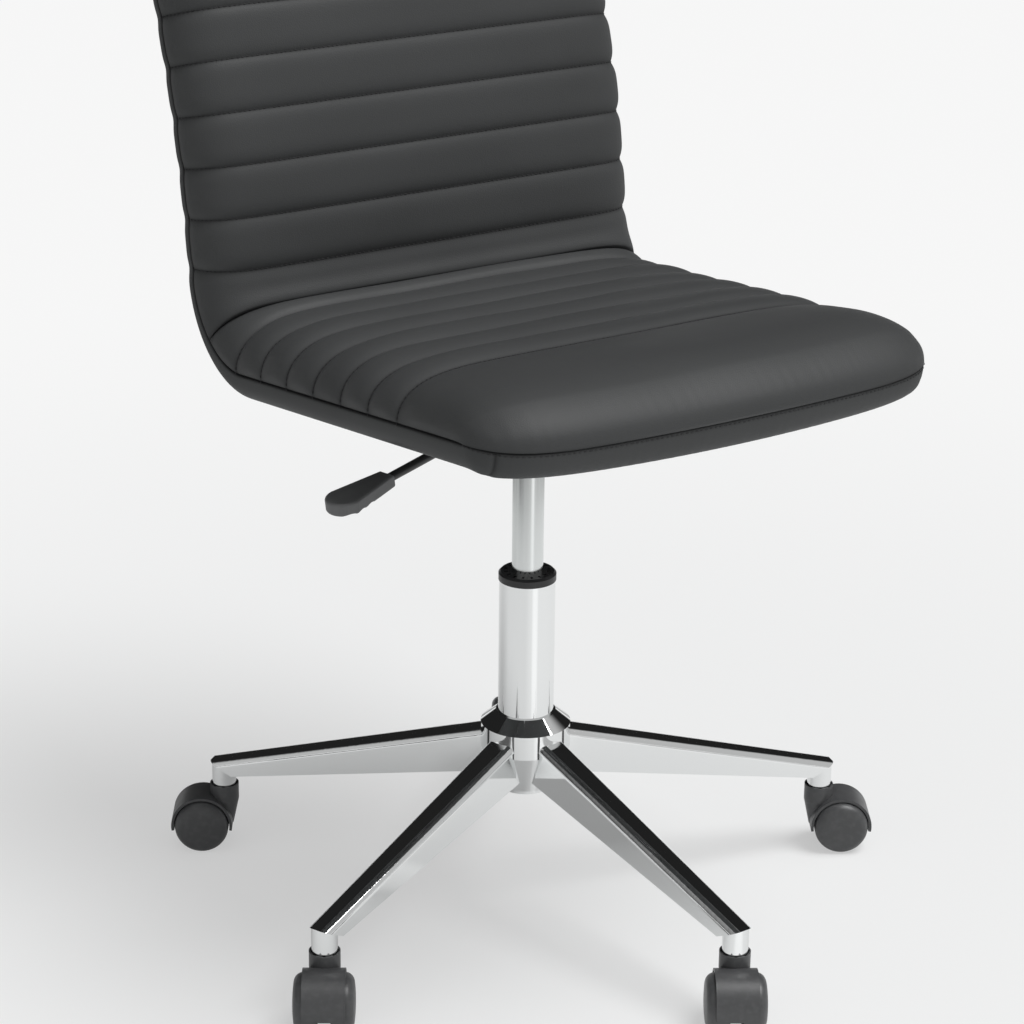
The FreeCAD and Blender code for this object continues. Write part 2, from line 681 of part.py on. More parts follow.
def make_ball_cage():
    """Balls of the thrust bearing in their cage ring."""
    pitch_radius = value("(race_diameter / 2 + rod_foot_diameter / 2) / 2")
    radius = value("ball_diameter / 2 - running_clearance")
    height = value(BALL_BOTTOM + " + ball_diameter / 2")
    low, high = height - radius / 2, height + radius / 2
    inside = rod_shape(pitch_radius - radius / 2, low, high)
    cage = rod_shape(pitch_radius + radius / 2, low, high).cut(inside)
    count = int(value("ball_count"))
    for number in range(count):
        angle = 2 * math.pi * number / count
        centre = Vector(pitch_radius * math.cos(angle), pitch_radius * math.sin(angle), height)
        cage = cage.fuse(Part.makeSphere(radius, centre))
    return free_shape("bearing_ball_cage", cage)


def make_piston_rod():
    rod = new_body("piston_rod")
    foot_end = "tube_bottom - rod_foot_below"
    revolve(rod, [
        ("0", foot_end),
        ("rod_foot_diameter / 2", foot_end),
        ("rod_foot_diameter / 2", CLIP_TOP + " - clip_thickness"),
        ("rod_foot_diameter / 2 - clip_groove_depth", CLIP_TOP + " - clip_thickness"),
        ("rod_foot_diameter / 2 - clip_groove_depth", CLIP_TOP),
        ("rod_foot_diameter / 2", CLIP_TOP),
        ("rod_foot_diameter / 2", ROD_SHOULDER),
        ("rod_diameter / 2", ROD_SHOULDER),
        ("rod_diameter / 2", PISTON_BOTTOM),
        (GAS_INSIDE + " - piston_clearance", PISTON_BOTTOM),
        (GAS_INSIDE + " - piston_clearance", PISTON_BOTTOM + " + piston_height"),
        ("0", PISTON_BOTTOM + " + piston_height"),
    ])
    return rod


def make_gas_cylinder():
    """Pressure cylinder that slides over the rod, with a valve block and a tapered upper end."""
    gas = new_body("gas_cylinder")
    rod_bore = "rod_diameter / 2 + running_clearance"
    pin_bore = "pin_diameter / 2 + running_clearance"
    pin_floor = GAS_TOP + " - pin_hold - pin_travel_room"
    revolve(gas, [
        (rod_bore, GAS_BOTTOM),
        ("gas_diameter / 2 - gas_wall / 2", GAS_BOTTOM),
        ("gas_diameter / 2", GAS_BOTTOM + " + gas_wall / 2"),
        ("gas_diameter / 2", TAPER_BOTTOM),
        ("gas_diameter / 2 - gas_taper", GAS_TOP),
        (pin_bore, GAS_TOP),
        (pin_bore, pin_floor),
        ("0", pin_floor),
        ("0", GAS_TOP + " - gas_valve"),
        (GAS_INSIDE, GAS_TOP + " - gas_valve"),
        (GAS_INSIDE, GAS_BOTTOM + " + gas_guide"),
        (rod_bore, GAS_BOTTOM + " + gas_guide"),
    ])
    return gas


def make_taper_socket():
    socket = new_body("taper_socket")
    top = GAS_TOP + " - taper_drop"
    revolve(socket, [
        ("gas_diameter / 2", TAPER_BOTTOM),
        (TAPER_OUTSIDE, TAPER_BOTTOM),
        (TAPER_OUTSIDE, top),
        ("gas_diameter / 2 - gas_taper * (taper_length - taper_drop) / taper_length", top),
    ])
    return socket


# Line of the plywood's upper face, seen from the side, and forms that follow it

def travel(state, length, curve):
    """Point and heading after a run of the given length and curvature."""
    y, z, heading = state
    if curve == 0:
        return y + length * math.cos(heading), z + length * math.sin(heading), heading
    turned = heading + curve * length
    across = (math.sin(turned) - math.sin(heading)) / curve
    rise = (math.cos(heading) - math.cos(turned)) / curve
    return y + across, z + rise, turned


UNDER_DEPTH = "(ply_thickness + under_padding)"
REAR_DEPTH = "(ply_thickness + rear_padding)"
PLATE_STACK = "(pan_depth - plate_gauge - plate_bed + ply_thickness + under_padding)"
SEAT_PLANE = value(GAS_TOP + " - gas_proud + " + PLATE_STACK + " / cos(seat_slope * 1 deg)")
SLOPE = math.radians(value("seat_slope"))
BEND_TURN = math.radians(value("90 - back_lean")) + SLOPE
BEND_START = value("seat_corner") - value("bend_radius") * math.tan(BEND_TURN / 2)
BEND_END = BEND_START + value("bend_radius") * BEND_TURN
LUMBAR_END = BEND_END + value("lumbar_radius") * math.radians(value("crest_lean - back_lean"))
TOP_END = BEND_END + value("back_length")
CREASE = (BEND_START + BEND_END) / 2
SEAT_SPAN = CREASE + value("seat_line_first - crease_room")
SEAT_LINES = int(SEAT_SPAN / value("seat_line_pitch")) + 1
BACK_LINES = int(value("(back_length - back_line_first - top_corner) / back_line_pitch")) + 1
FRONT_END = -value("seat_front")
WATERFALL = -value("waterfall_start")

OVER_COLUMN = (0.0, SEAT_PLANE, -SLOPE)
AT_WATERFALL = travel(OVER_COLUMN, WATERFALL, 0)
AT_BEND = travel(OVER_COLUMN, BEND_START, 0)
AT_LUMBAR = travel(AT_BEND, BEND_END - BEND_START, 1 / value("bend_radius"))
AT_CREST = travel(AT_LUMBAR, LUMBAR_END - BEND_END, -1 / value("lumbar_radius"))
RUNS = [
    (FRONT_END - 1, WATERFALL, AT_WATERFALL, WATERFALL, -1 / value("waterfall_radius")),
    (WATERFALL, BEND_START, OVER_COLUMN, 0.0, 0),
    (BEND_START, BEND_END, AT_BEND, BEND_START, 1 / value("bend_radius")),
    (BEND_END, LUMBAR_END, AT_LUMBAR, BEND_END, -1 / value("lumbar_radius")),
    (LUMBAR_END, TOP_END + 1, AT_CREST, LUMBAR_END, 0),
]


def on_shell(x, distance, height):
    """Point at a distance along the shell's line and a height off it, towards the sitter."""
    run = next(run for run in RUNS if distance <= run[1])
    y, z, heading = travel(run[2], distance - run[3], run[4])
    return Vector(x, y - height * math.sin(heading), z + height * math.cos(heading))


def shell_edges(x, start, end, height):
    """Edges of the shell's line from start to end, at a height off it."""
    marks = [start] + [run[1] for run in RUNS if start < run[1] < end] + [end]
    edges = []
    for first, last in zip(marks, marks[1:]):
        points = [on_shell(x, distance, height) for distance in (first, (first + last) / 2, last)]
        run = next(run for run in RUNS if (first + last) / 2 <= run[1])
        if run[4] == 0:
            edges.append(Part.makeLine(points[0], points[2]))
        else:
            edges.append(Part.Arc(*points).toShape())
    return edges


def arc_on_shell(x, start, middle, end):
    points = [on_shell(x, distance, height) for distance, height in (start, middle, end)]
    return Part.Arc(*points).toShape()


# Shape of the pads' sides, ends and borders, as plain shares
SIDE_SQUARENESS = 8
SIDE_LEAST = 0.02
BORDER_LEAST = 0.75
NOSE_SQUARENESS = 2.0
NOSE_STEPS = (0.0, 0.06, 0.25, 0.6, 1.0)
BELLY_ALONG, BELLY_DOWN = 0.05, 0.7
BORDER_FOOT = 0.3


def fullness(share):
    """Height of a pad's crown across its width: 1 in the middle, drawn in at the sides."""
    return math.sqrt(max(1 - abs(share) ** SIDE_SQUARENESS, SIDE_LEAST))


def border(share):
    """Share of the covers' depth that is left at the sides."""
    return BORDER_LEAST + (1 - BORDER_LEAST) * fullness(share)


def falling(share):
    """Height of a rounded end, from 0 at its edge to 1 where it runs level."""
    return (1 - (1 - share) ** NOSE_SQUARENESS) ** (1 / NOSE_SQUARENESS)


STATIONS = (-1.0, -0.94, -0.78, -0.45, 0.0, 0.45, 0.78, 0.94, 1.0)
HALF_WIDTH = value("seat_width / 2")
SEAM_GAP = value("seam_gap")
CREASE_HEIGHT = value("crease_height")
FIRST_LINE = -value("seat_line_first")
FLAT_CROWN = 1.0


def seat_roll(distance):
    """Height of the seat's rolls, which grows from the first sewn line to the fold."""
    share = max((distance - FIRST_LINE) / (CREASE - FIRST_LINE), 0)
    return value("seat_pad_front") + value("seat_pad_rear - seat_pad_front") * share


def back_roll(distance):
    """Height of the back's rolls, the same all the way up."""
    return value("back_pad_height")


def front_edge(share):
    return FRONT_END + value("front_bow") * share ** 2 + value("front_corner") * (1 - fullness(share))


def top_edge(share):
    return TOP_END - value("top_corner") * (1 - fullness(share))


def end_arcs(x, edge, level, height):
    """Two arcs from a pad's edge up to where it runs level."""
    places = []
    for step in NOSE_STEPS:
        places.append((edge + (level - edge) * step, SEAM_GAP + (height - SEAM_GAP) * falling(step)))
    return [arc_on_shell(x, *places[0:3]), arc_on_shell(x, *places[2:5])]


def sewn_lines(first, pitch, count, roll, depth):
    """Places of sewn lines, as (distance, height) pairs, a depth under the crown of the rolls."""
    places = [first + value(pitch) * number for number in range(count)]
    return [(place, roll(place) - value(depth)) for place in places]


def rolls(x, lines, full, roll):
    """Arcs of the padded rolls between sewn lines."""
    edges = []
    for (start, low), (end, high) in zip(lines, lines[1:]):
        middle = (start + end) / 2
        crown = (middle, roll(middle) * full)
        edges.append(arc_on_shell(x, (start, low * full), crown, (end, high * full)))
    return edges


def seat_section(share):
    x = share * HALF_WIDTH
    full = fullness(share)
    edge = front_edge(share)
    lines = sewn_lines(FIRST_LINE, "seat_line_pitch", SEAT_LINES, seat_roll, "seat_channel_depth")
    first, low = lines[0]
    lines.append((CREASE, CREASE_HEIGHT))
    level = first - value("flat_length")
    high = seat_roll(level)
    flat = ((level + first) / 2, (high + low) / 2 * full + FLAT_CROWN)
    edges = end_arcs(x, edge, level, high * full)
    edges.append(arc_on_shell(x, (level, high * full), flat, (first, low * full)))
    edges += rolls(x, lines, full, seat_roll)
    edges.append(Part.makeLine(on_shell(x, CREASE, CREASE_HEIGHT * full), on_shell(x, CREASE, SEAM_GAP)))
    edges += shell_edges(x, edge, CREASE, SEAM_GAP)
    return Part.Wire(Part.__sortEdges__(edges))


def back_section(share):
    x = share * HALF_WIDTH
    full = fullness(share)
    edge = top_edge(share)
    first = BEND_END + value("back_line_first")
    lines = [(CREASE, CREASE_HEIGHT)]
    lines += sewn_lines(first, "back_line_pitch", BACK_LINES, back_roll, "back_channel_depth")
    last, low = lines[-1]
    edges = rolls(x, lines, full, back_roll)
    edges += end_arcs(x, edge, last, low * full)
    edges += shell_edges(x, CREASE, edge, SEAM_GAP)
    edges.append(Part.makeLine(on_shell(x, CREASE, CREASE_HEIGHT * full), on_shell(x, CREASE, SEAM_GAP)))
    return Part.Wire(Part.__sortEdges__(edges))


def under_section(share):
    """Lower border and underside of the seat, from the sewn edge down and back to the bend."""
    x = share * HALF_WIDTH
    edge = front_edge(share)
    depth = value(UNDER_DEPTH) * border(share)
    inner = edge + depth * BORDER_FOOT
    edges = shell_edges(x, edge, BEND_START, 0)
    edges.append(Part.makeLine(on_shell(x, BEND_START, 0), on_shell(x, BEND_START, -depth)))
    edges += shell_edges(x, inner, BEND_START, -depth)
    belly = (edge + depth * BELLY_ALONG, -depth * BELLY_DOWN)
    edges.append(arc_on_shell(x, (edge, 0), belly, (inner, -depth)))
    return Part.Wire(Part.__sortEdges__(edges))


def rear_section(share):
    """Rear cover, round the bend and up to the sewn edge along the top."""
    x = share * HALF_WIDTH
    edge = top_edge(share)
    depth = value(REAR_DEPTH) * border(share)
    bottom = value(UNDER_DEPTH) * border(share)
    inner = edge - depth * BORDER_FOOT
    edges = shell_edges(x, BEND_START, edge, 0)
    belly = (edge - depth * BELLY_ALONG, -depth * BELLY_DOWN)
    edges.append(arc_on_shell(x, (edge, 0), belly, (inner, -depth)))
    edges += shell_edges(x, BEND_END, inner, -depth)
    halfway = (CREASE, -(depth + bottom) / 2)
    edges.append(arc_on_shell(x, (BEND_START, -bottom), halfway, (BEND_END, -depth)))
    edges.append(Part.makeLine(on_shell(x, BEND_START, -bottom), on_shell(x, BEND_START, 0)))
    return Part.Wire(Part.__sortEdges__(edges))


def loft_across(section):
    return Part.makeLoft([section(share) for share in STATIONS], True, False)


def make_ply_blank(label, room):
    """Plywood bent to the seat's line, with rounded front and top corners, or the room for it."""
    body = new_body(label)
    sketch = new_sketch(body, "YZ_Plane", "0")
    spare = value(room)
    front = FRONT_END + value("ply_inset") - spare
    top = TOP_END - value("ply_inset") + spare
    thickness = value("ply_thickness") + spare
    edges = shell_edges(0, front, top, spare) + shell_edges(0, front, top, -thickness)
    for end in (front, top):
        edges.append(Part.makeLine(on_shell(0, end, spare), on_shell(0, end, -thickness)))
    for edge in edges:
        first, last = edge.FirstParameter, edge.LastParameter
        start, middle, end = [edge.valueAt(place) for place in (first, (first + last) / 2, last)]
        flat = [Vector(point.y, point.z, 0) for point in (start, middle, end)]
        straight = edge.Curve.TypeId == "Part::GeomLine"
        sketch.addGeometry(Part.LineSegment(flat[0], flat[2]) if straight else Part.Arc(*flat))
    pad(body, sketch, "seat_width - 2 * ply_inset + 2 * " + room, both_ways=True)
    ends = [on_shell(0, end, (spare - thickness) / 2) for end in (front, top)]

    def at_corner(edge):
        middle = edge.BoundBox.Center
        near = [math.hypot(middle.y - end.y, middle.z - end.z) for end in ends]
        return min(near) < 1 and abs(middle.x) > 1

    fillet(body, at_corner, "ply_corner + " + room)
    return body


# Seat plate, bolts and lever

SEAT_FRAME = Placement(Vector(0, 0, SEAT_PLANE), Rotation(Vector(1, 0, 0), -value("seat_slope")))
BED = value("plate_bed - " + UNDER_DEPTH)
PLATE_FRAME = SEAT_FRAME.multiply(shift(0, 0, BED))
BOLT_ACROSS = "(pan_width / 2 + bolt_offset)"
BOLT_ALONG = "(bolt_along / 2)"
PLATE_HALF_WIDTH = "(pan_width / 2 + bolt_offset + plate_ear)"
PLATE_HALF_LENGTH = "(bolt_along / 2 + plate_end)"
BOLT_PLACES = [(x + BOLT_ACROSS, y + BOLT_ALONG) for x in ("-", "") for y in ("-", "")]


def at_bolts(shape):
    """The shape, drawn about the seat frame's origin, at each of the four bolts."""
    copies = []
    for x, y in BOLT_PLACES:
        copy = shape.copy()
        copy.Placement = SEAT_FRAME.multiply(shift(value(x), value(y), 0)).multiply(copy.Placement)
        copies.append(copy)
    return Part.makeCompound(copies)


def rod_shape(radius, bottom, top):
    return Part.makeCylinder(radius, top - bottom, Vector(0, 0, bottom))


def nut_space():
    barrel = rod_shape(value("nut_barrel_diameter / 2"), -value("ply_thickness") - 1, 1)
    flange = rod_shape(value("nut_flange_diameter / 2"), -value("nut_flange_thickness"), 1)
    return at_bolts(barrel.fuse(flange))


def make_tee_nuts():
    length = value("nut_flange_thickness + nut_barrel_length")
    flange = rod_shape(value("nut_flange_diameter / 2"), -value("nut_flange_thickness"), 0)
    barrel = rod_shape(value("nut_barrel_diameter / 2"), -length, -value("nut_flange_thickness"))
    bore = rod_shape(value("bolt_diameter / 2 + running_clearance"), -length - 1, 1)
    return free_shape("tee_nuts", at_bolts(flange.fuse(barrel).cut(bore)))


def make_washers():
    top = BED - value("plate_gauge")
    ring = rod_shape(value("washer_diameter / 2"), top - value("washer_thickness"), top)
    bore = rod_shape(value("bolt_diameter / 2 + running_clearance"), top - value("washer_thickness"), top)
    return free_shape("bolt_washers", at_bolts(ring.cut(bore)))


def make_bolts():
    seat = BED - value("plate_gauge + washer_thickness")
    reach = value("bolt_head_width") / math.sqrt(3)
    corners = [Vector(reach * math.cos(math.radians(60 * n)), reach * math.sin(math.radians(60 * n)),
                      seat - value("bolt_head_height")) for n in range(7)]
    head = Part.Face(Part.makePolygon(corners)).extrude(Vector(0, 0, value("bolt_head_height")))
    shank = rod_shape(value("bolt_diameter / 2"), seat, -value("nut_flange_thickness"))
    return free_shape("plate_bolts", at_bolts(head.fuse(shank)))


PIVOT_REACH = "(pan_width / 2 + pivot_offset) / cos(lever_angle * 1 deg)"


def lever_frames():
    """Lever's frame at its pivot with +X along the rod, and the same frame without the rod's dip."""
    reach = value(PIVOT_REACH)
    angle = math.radians(value("lever_angle"))
    rod_height = value(GAS_TOP + " + pin_rise + lever_pin_gap + lever_rod_diameter / 2")
    height = rod_height - reach * math.tan(math.radians(value("lever_dip")))
    pivot = Vector(-reach * math.cos(angle), -reach * math.sin(angle), height)
    level = Placement(pivot, Rotation(Vector(0, 0, 1), 180 + value("lever_angle")))
    dipped = level.multiply(Placement(Vector(), Rotation(Vector(0, 1, 0), value("lever_dip"))))
    return dipped, level


LEVER_FRAME, BRACKET_FRAME = lever_frames()
LEVER_ALONG = "cos(lever_dip * 1 deg)"
ROD_INNER = "-(" + PIVOT_REACH + " + lever_overshoot) / " + LEVER_ALONG
HANDLE_END = "(lever_tip_reach - " + PIVOT_REACH + ") / " + LEVER_ALONG
HANDLE_START = HANDLE_END + " - handle_length"
FINGER_STEPS = "floor((handle_length - handle_hold - 2 * finger_radius) / finger_pitch)"
FINGER_ROW = "finger_pitch * " + FINGER_STEPS


def make_lever_window(label):
    """Space along the rod, from the pivot inwards, that the plate and the bracket leave free."""
    inwards = Placement(Vector(), Rotation(Vector(0, 1, 0), -90))
    return cylinder(label, "bracket_window / 2", PIVOT_REACH + " / 2", LEVER_FRAME.multiply(inwards))


def make_seat_plate():
    """Pressed plate: two ears under the seat and a pan that holds the taper and the lever."""
    body = new_body("plate_pressing")
    half, inner, outer = PLATE_HALF_WIDTH, "pan_width / 2 - plate_gauge", "pan_width / 2"
    hat = outline(body, "XZ_Plane", [
        ("-" + half, "0"),
        ("-(%s)" % inner, "0"),
        ("-(%s)" % inner, "plate_gauge - pan_depth"),
        (inner, "plate_gauge - pan_depth"),
        (inner, "0"),
        (half, "0"),
        (half, "-plate_gauge"),
        (outer, "-plate_gauge"),
        (outer, "-pan_depth"),
        ("-" + outer, "-pan_depth"),
        ("-" + outer, "-plate_gauge"),
        ("-" + half, "-plate_gauge"),
    ])
    pad(body, hat, "2 * " + PLATE_HALF_LENGTH, both_ways=True)
    half_width, half_length = value(PLATE_HALF_WIDTH), value(PLATE_HALF_LENGTH)

    def at_corner(edge):
        middle = edge.BoundBox.Center
        upright = edge.BoundBox.ZLength > edge.BoundBox.XLength + edge.BoundBox.YLength
        return upright and abs(middle.x) > half_width - 1 and abs(middle.y) > half_length - 1

    fillet(body, at_corner, "plate_corner")
    pocket(body, circles(body, "XY_Plane", BOLT_PLACES, "bolt_diameter / 2 + bolt_clearance"))
    body.Placement = PLATE_FRAME
    bore = cylinder("plate_bore", TAPER_OUTSIDE, GAS_TOP, Placement())
    bored = cut("plate_bored", body, bore)
    return cut("seat_plate", bored, make_lever_window("plate_window"))


def make_lever_rod():
    body = new_body("lever_rod")
    section = circles(body, "YZ_Plane", [("0", "0")], "lever_rod_diameter / 2", ROD_INNER)
    pad(body, section, HANDLE_START + " + handle_hold - (" + ROD_INNER + ")")
    pocket(body, circles(body, "XZ_Plane", [("0", "0")], "pivot_diameter / 2 + running_clearance"))
    body.Placement = LEVER_FRAME
    return body


def make_lever_handle():
    """Flat drop-shaped grip on the rod, widest at its round end, with finger grooves underneath."""
    body = new_body("lever_handle")
    neck, wide = "handle_neck_width / 2", "handle_width / 2"
    widest = HANDLE_END + " - " + wide
    plan = outline(body, "XY_Plane", [
        (HANDLE_START, "-" + neck),
        (widest, "-" + wide),
        (HANDLE_END, "0", wide, "left"),
        (widest, wide, wide, "left"),
        (HANDLE_START, neck),
    ])
    pad(body, plan, "handle_thickness", both_ways=True)
    level = value("handle_thickness / 2")
    fillet(body, lambda edge: abs(abs(edge.BoundBox.Center.z) - level) < 0.01, "handle_rounding")
    pocket(body, circles(body, "YZ_Plane", [("0", "0")], "lever_rod_diameter / 2",
                         HANDLE_START + " + handle_hold"), "handle_hold")
    groove_place = (HANDLE_END + " - finger_radius - " + FINGER_ROW,
                    "finger_depth - finger_radius - handle_thickness / 2")
    groove = pocket(body, circles(body, "XZ_Plane", [groove_place], "finger_radius"))
    linear_pattern(body, groove, "X_Axis", FINGER_ROW, FINGER_STEPS + " + 1")
    body.Placement = LEVER_FRAME
    return body


def make_lever_bracket():
    """Bracket on the plate's flank: two cheeks for the pivot and a base with a window for the rod."""
    body = new_body("bracket_blank")
    cheek = "lever_rod_diameter / 2 + bracket_slack"
    tall = "bracket_height / 2"
    base = "pivot_offset * 1.5"
    side = outline(body, "XZ_Plane", [
        ("-" + base, "-" + tall),
        ("0", "-" + tall),
        ("bracket_reach", "0", "bracket_height * 0.51", "left"),
        ("0", tall, "bracket_height * 0.51", "left"),
        ("-" + base, tall),
    ])
    pad(body, side, "2 * (%s + bracket_gauge)" % cheek, both_ways=True)
    slot_start = "-lever_rod_diameter"
    slot = outline(body, "XY_Plane", [
        (slot_start, "-(%s)" % cheek),
        ("bracket_reach + bracket_gauge", "-(%s)" % cheek),
        ("bracket_reach + bracket_gauge", cheek),
        (slot_start, cheek),
    ])
    pocket(body, slot)
    pocket(body, circles(body, "XZ_Plane", [("0", "0")], "pivot_diameter / 2"))
    body.Placement = BRACKET_FRAME
    inside = doc.addObject("Part::Box", "bracket_trim")
    inside.setExpression("Length", bind("pan_width"))
    inside.setExpression("Width", bind("2 * " + PLATE_HALF_LENGTH))
    inside.setExpression("Height", bind("2 * (" + GAS_TOP + ")"))
    inside.Placement = shift(-value("pan_width / 2"), -value(PLATE_HALF_LENGTH), 0)
    trimmed = cut("bracket_trimmed", body, inside)
    return cut("lever_bracket", trimmed, make_lever_window("bracket_bore"))


def make_lever_pivot():
    length = "lever_rod_diameter + 2 * bracket_slack + 4 * bracket_gauge"
    across = Placement(Vector(0, -value(length) / 2, 0), Rotation(Vector(1, 0, 0), -90))
    return cylinder("lever_pivot", "pivot_diameter / 2", length, BRACKET_FRAME.multiply(across))


# The whole chair

def make_base():
    keep(make_hub())
    core = make_hub_core()
    count = int(value("arm_count"))
    stem = make_stem()
    ring = make_grip_ring()
    stems = []
    rings = []
    for number in range(1, count + 1):
        angle = value("arm_first_angle") + 360 * (number - 1) / count
        from_first = (360 * (number - 1) / count + 180) % 360 - 180
        at_socket = turn_z(angle).multiply(shift(value("caster_circle"), 0, 0))
        heading = at_socket.multiply(turn_z(value("caster_drift") * from_first))
        keep(make_arm(number, turn_z(angle), core))
        keep(make_socket(number, at_socket))
        keep(make_hood(number, heading))
        axle_place = heading.multiply(shift(value("caster_trail"), 0, value(AXLE_HEIGHT)))
        for side, tilt in (("left", -90), ("right", 90)):
            face_out = axle_place.multiply(Placement(Vector(), Rotation(Vector(1, 0, 0), tilt)))
            keep(make_wheel("caster_wheel_%s_%d" % (side, number), face_out))
        half = value("axle_length / 2")
        across = Placement(Vector(0, -half, 0), Rotation(Vector(1, 0, 0), -90))
        keep(cylinder("caster_axle_%d" % number, "axle_diameter / 2", "axle_length",
                      axle_place.multiply(across)))
        for blank, copies in ((stem, stems), (ring, rings)):
            copy = blank.Shape.copy()
            copy.Placement = at_socket
            copies.append(copy)
    keep(free_shape("caster_stems", Part.makeCompound(stems)))
    keep(free_shape("stem_grip_rings", Part.makeCompound(rings)))


def make_column():
    keep(make_tube())
    keep(make_bush())
    race = "race_diameter / 2"
    keep(make_ring("bearing_lower_race", FOOT_BORE, race, RACE_BOTTOM, BALL_BOTTOM))
    keep(make_ball_cage())
    keep(make_ring("bearing_upper_race", FOOT_BORE, race, UPPER_RACE, ROD_SHOULDER))
    keep(make_ring("bump_stop", "rod_diameter / 2", "bump_diameter / 2", ROD_SHOULDER,
                   ROD_SHOULDER + " + bump_height"))
    keep(make_ring("rod_clip", "rod_foot_diameter / 2 - clip_groove_depth", "clip_diameter / 2",
                   CLIP_TOP + " - clip_thickness", CLIP_TOP))
    keep(make_piston_rod())
    keep(make_gas_cylinder())
    keep(cylinder("release_pin", "pin_diameter / 2", "pin_hold + pin_rise",
                  shift(0, 0, value(GAS_TOP + " - pin_hold"))))
    keep(make_taper_socket())


def make_seat():
    ply = make_ply_blank("ply_blank", "0")
    ply_room = make_ply_blank("ply_room", "pad_gap").Shape
    keep(cut("ply_shell", ply, free_shape("nut_space", nut_space())))
    keep(make_tee_nuts())
    keep(make_washers())
    keep(make_bolts())
    keep(free_shape("seat_pad", loft_across(seat_section)))
    keep(free_shape("back_pad", loft_across(back_section)))
    half_width, half_length, depth = value(PLATE_HALF_WIDTH), value(PLATE_HALF_LENGTH), value(UNDER_DEPTH)
    bed = Part.makeBox(2 * half_width, 2 * half_length, depth, Vector(-half_width, -half_length, -depth))
    bed.Placement = PLATE_FRAME
    holes = at_bolts(rod_shape(value("bolt_diameter / 2 + bolt_clearance"), -2 * depth, 0))
    under = loft_across(under_section).cut(ply_room).cut(bed).cut(holes)
    keep(free_shape("seat_under_cover", under))
    keep(free_shape("back_cover", loft_across(rear_section).cut(ply_room)))
    keep(make_seat_plate())
    keep(make_lever_rod())
    keep(make_lever_handle())
    keep(make_lever_bracket())
    keep(make_lever_pivot())


make_base()
make_column()
make_seat()
doc.recompute()

for item in doc.Objects:
    if "Invalid" in item.State or "Error" in item.State:
        raise RuntimeError("failed: " + item.Label)
for node in nodes:
    if node.Shape.isNull() or not node.Shape.isValid():
        raise RuntimeError("no valid shape: " + node.Label)

os.makedirs("parts", exist_ok=True)
for node in nodes:
    node.Shape.exportStep("parts/%s.step" % node.Label)
print("%d nodes, lever frame at %s" % (len(nodes), LEVER_FRAME.Base))
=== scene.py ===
# %% [markdown]
# This lesson dresses an armless office chair: a ribbed leatherette seat and back on one bent shell, a gas
# lift with a side lever, and a chrome star base on twin-wheel casters. The rigid parts come from the
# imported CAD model, which is loaded as a fixed frame in metres. Blender adds what CAD leaves plain: the
# sewn upholstery, its stitches, and every surface finish.

# %% Load the frame
import json
import math

import bpy
import numpy as np
from mathutils import Matrix, Vector


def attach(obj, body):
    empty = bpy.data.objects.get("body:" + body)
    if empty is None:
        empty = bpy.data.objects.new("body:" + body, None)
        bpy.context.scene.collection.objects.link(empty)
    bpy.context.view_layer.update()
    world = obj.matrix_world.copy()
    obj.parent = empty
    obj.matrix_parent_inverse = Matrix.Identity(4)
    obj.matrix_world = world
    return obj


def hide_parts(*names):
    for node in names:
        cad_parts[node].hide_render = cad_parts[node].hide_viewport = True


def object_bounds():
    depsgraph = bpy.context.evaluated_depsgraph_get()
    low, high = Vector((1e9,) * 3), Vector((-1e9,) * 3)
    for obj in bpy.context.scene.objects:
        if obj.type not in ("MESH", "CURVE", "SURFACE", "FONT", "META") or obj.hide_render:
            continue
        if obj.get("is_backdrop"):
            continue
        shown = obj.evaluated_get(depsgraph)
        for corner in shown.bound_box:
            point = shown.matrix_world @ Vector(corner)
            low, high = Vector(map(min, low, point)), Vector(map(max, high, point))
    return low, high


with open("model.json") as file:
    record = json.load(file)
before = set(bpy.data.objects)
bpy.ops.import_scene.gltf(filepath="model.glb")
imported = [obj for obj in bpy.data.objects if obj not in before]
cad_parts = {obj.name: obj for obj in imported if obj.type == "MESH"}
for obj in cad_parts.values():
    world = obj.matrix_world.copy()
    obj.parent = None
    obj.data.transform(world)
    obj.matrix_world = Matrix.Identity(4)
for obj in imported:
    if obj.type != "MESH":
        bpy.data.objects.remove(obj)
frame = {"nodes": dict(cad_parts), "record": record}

scene = bpy.context.scene
cad_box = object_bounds()

# %% [markdown]
# The photograph was taken with a long lens from in front of the chair, to the side of its lever, and from
# above the seat. The camera's place, heading and lens were solved from the column and the five caster
# sockets, so a pixel of the render can be set against the same pixel of the photograph. The heading is
# given as turns about the three axes, because a tracking constraint would hide the small roll.

# %% Place the camera
CAMERA_PLACE = (-1.4345, -2.1324, 1.3229)
CAMERA_HEADING = math.radians(33.611)
CAMERA_PITCH = math.radians(20.392)
CAMERA_ROLL = 0.011
FOCAL_PIXELS = 3118
PICTURE_PIXELS = 1024

camera_data = bpy.data.cameras.new("camera")
camera_data.sensor_width = 36.0
camera_data.lens = camera_data.sensor_width * FOCAL_PIXELS / PICTURE_PIXELS
camera_data.clip_end = 100.0
camera = bpy.data.objects.new("camera", camera_data)
scene.collection.objects.link(camera)
turn = Matrix.Rotation(-CAMERA_HEADING, 4, "Z") @ Matrix.Rotation(math.pi / 2 - CAMERA_PITCH, 4, "X")
camera.matrix_world = Matrix.Translation(CAMERA_PLACE) @ turn @ Matrix.Rotation(CAMERA_ROLL, 4, "Z")
scene.camera = camera
print("lens %.1f mm" % camera_data.lens)

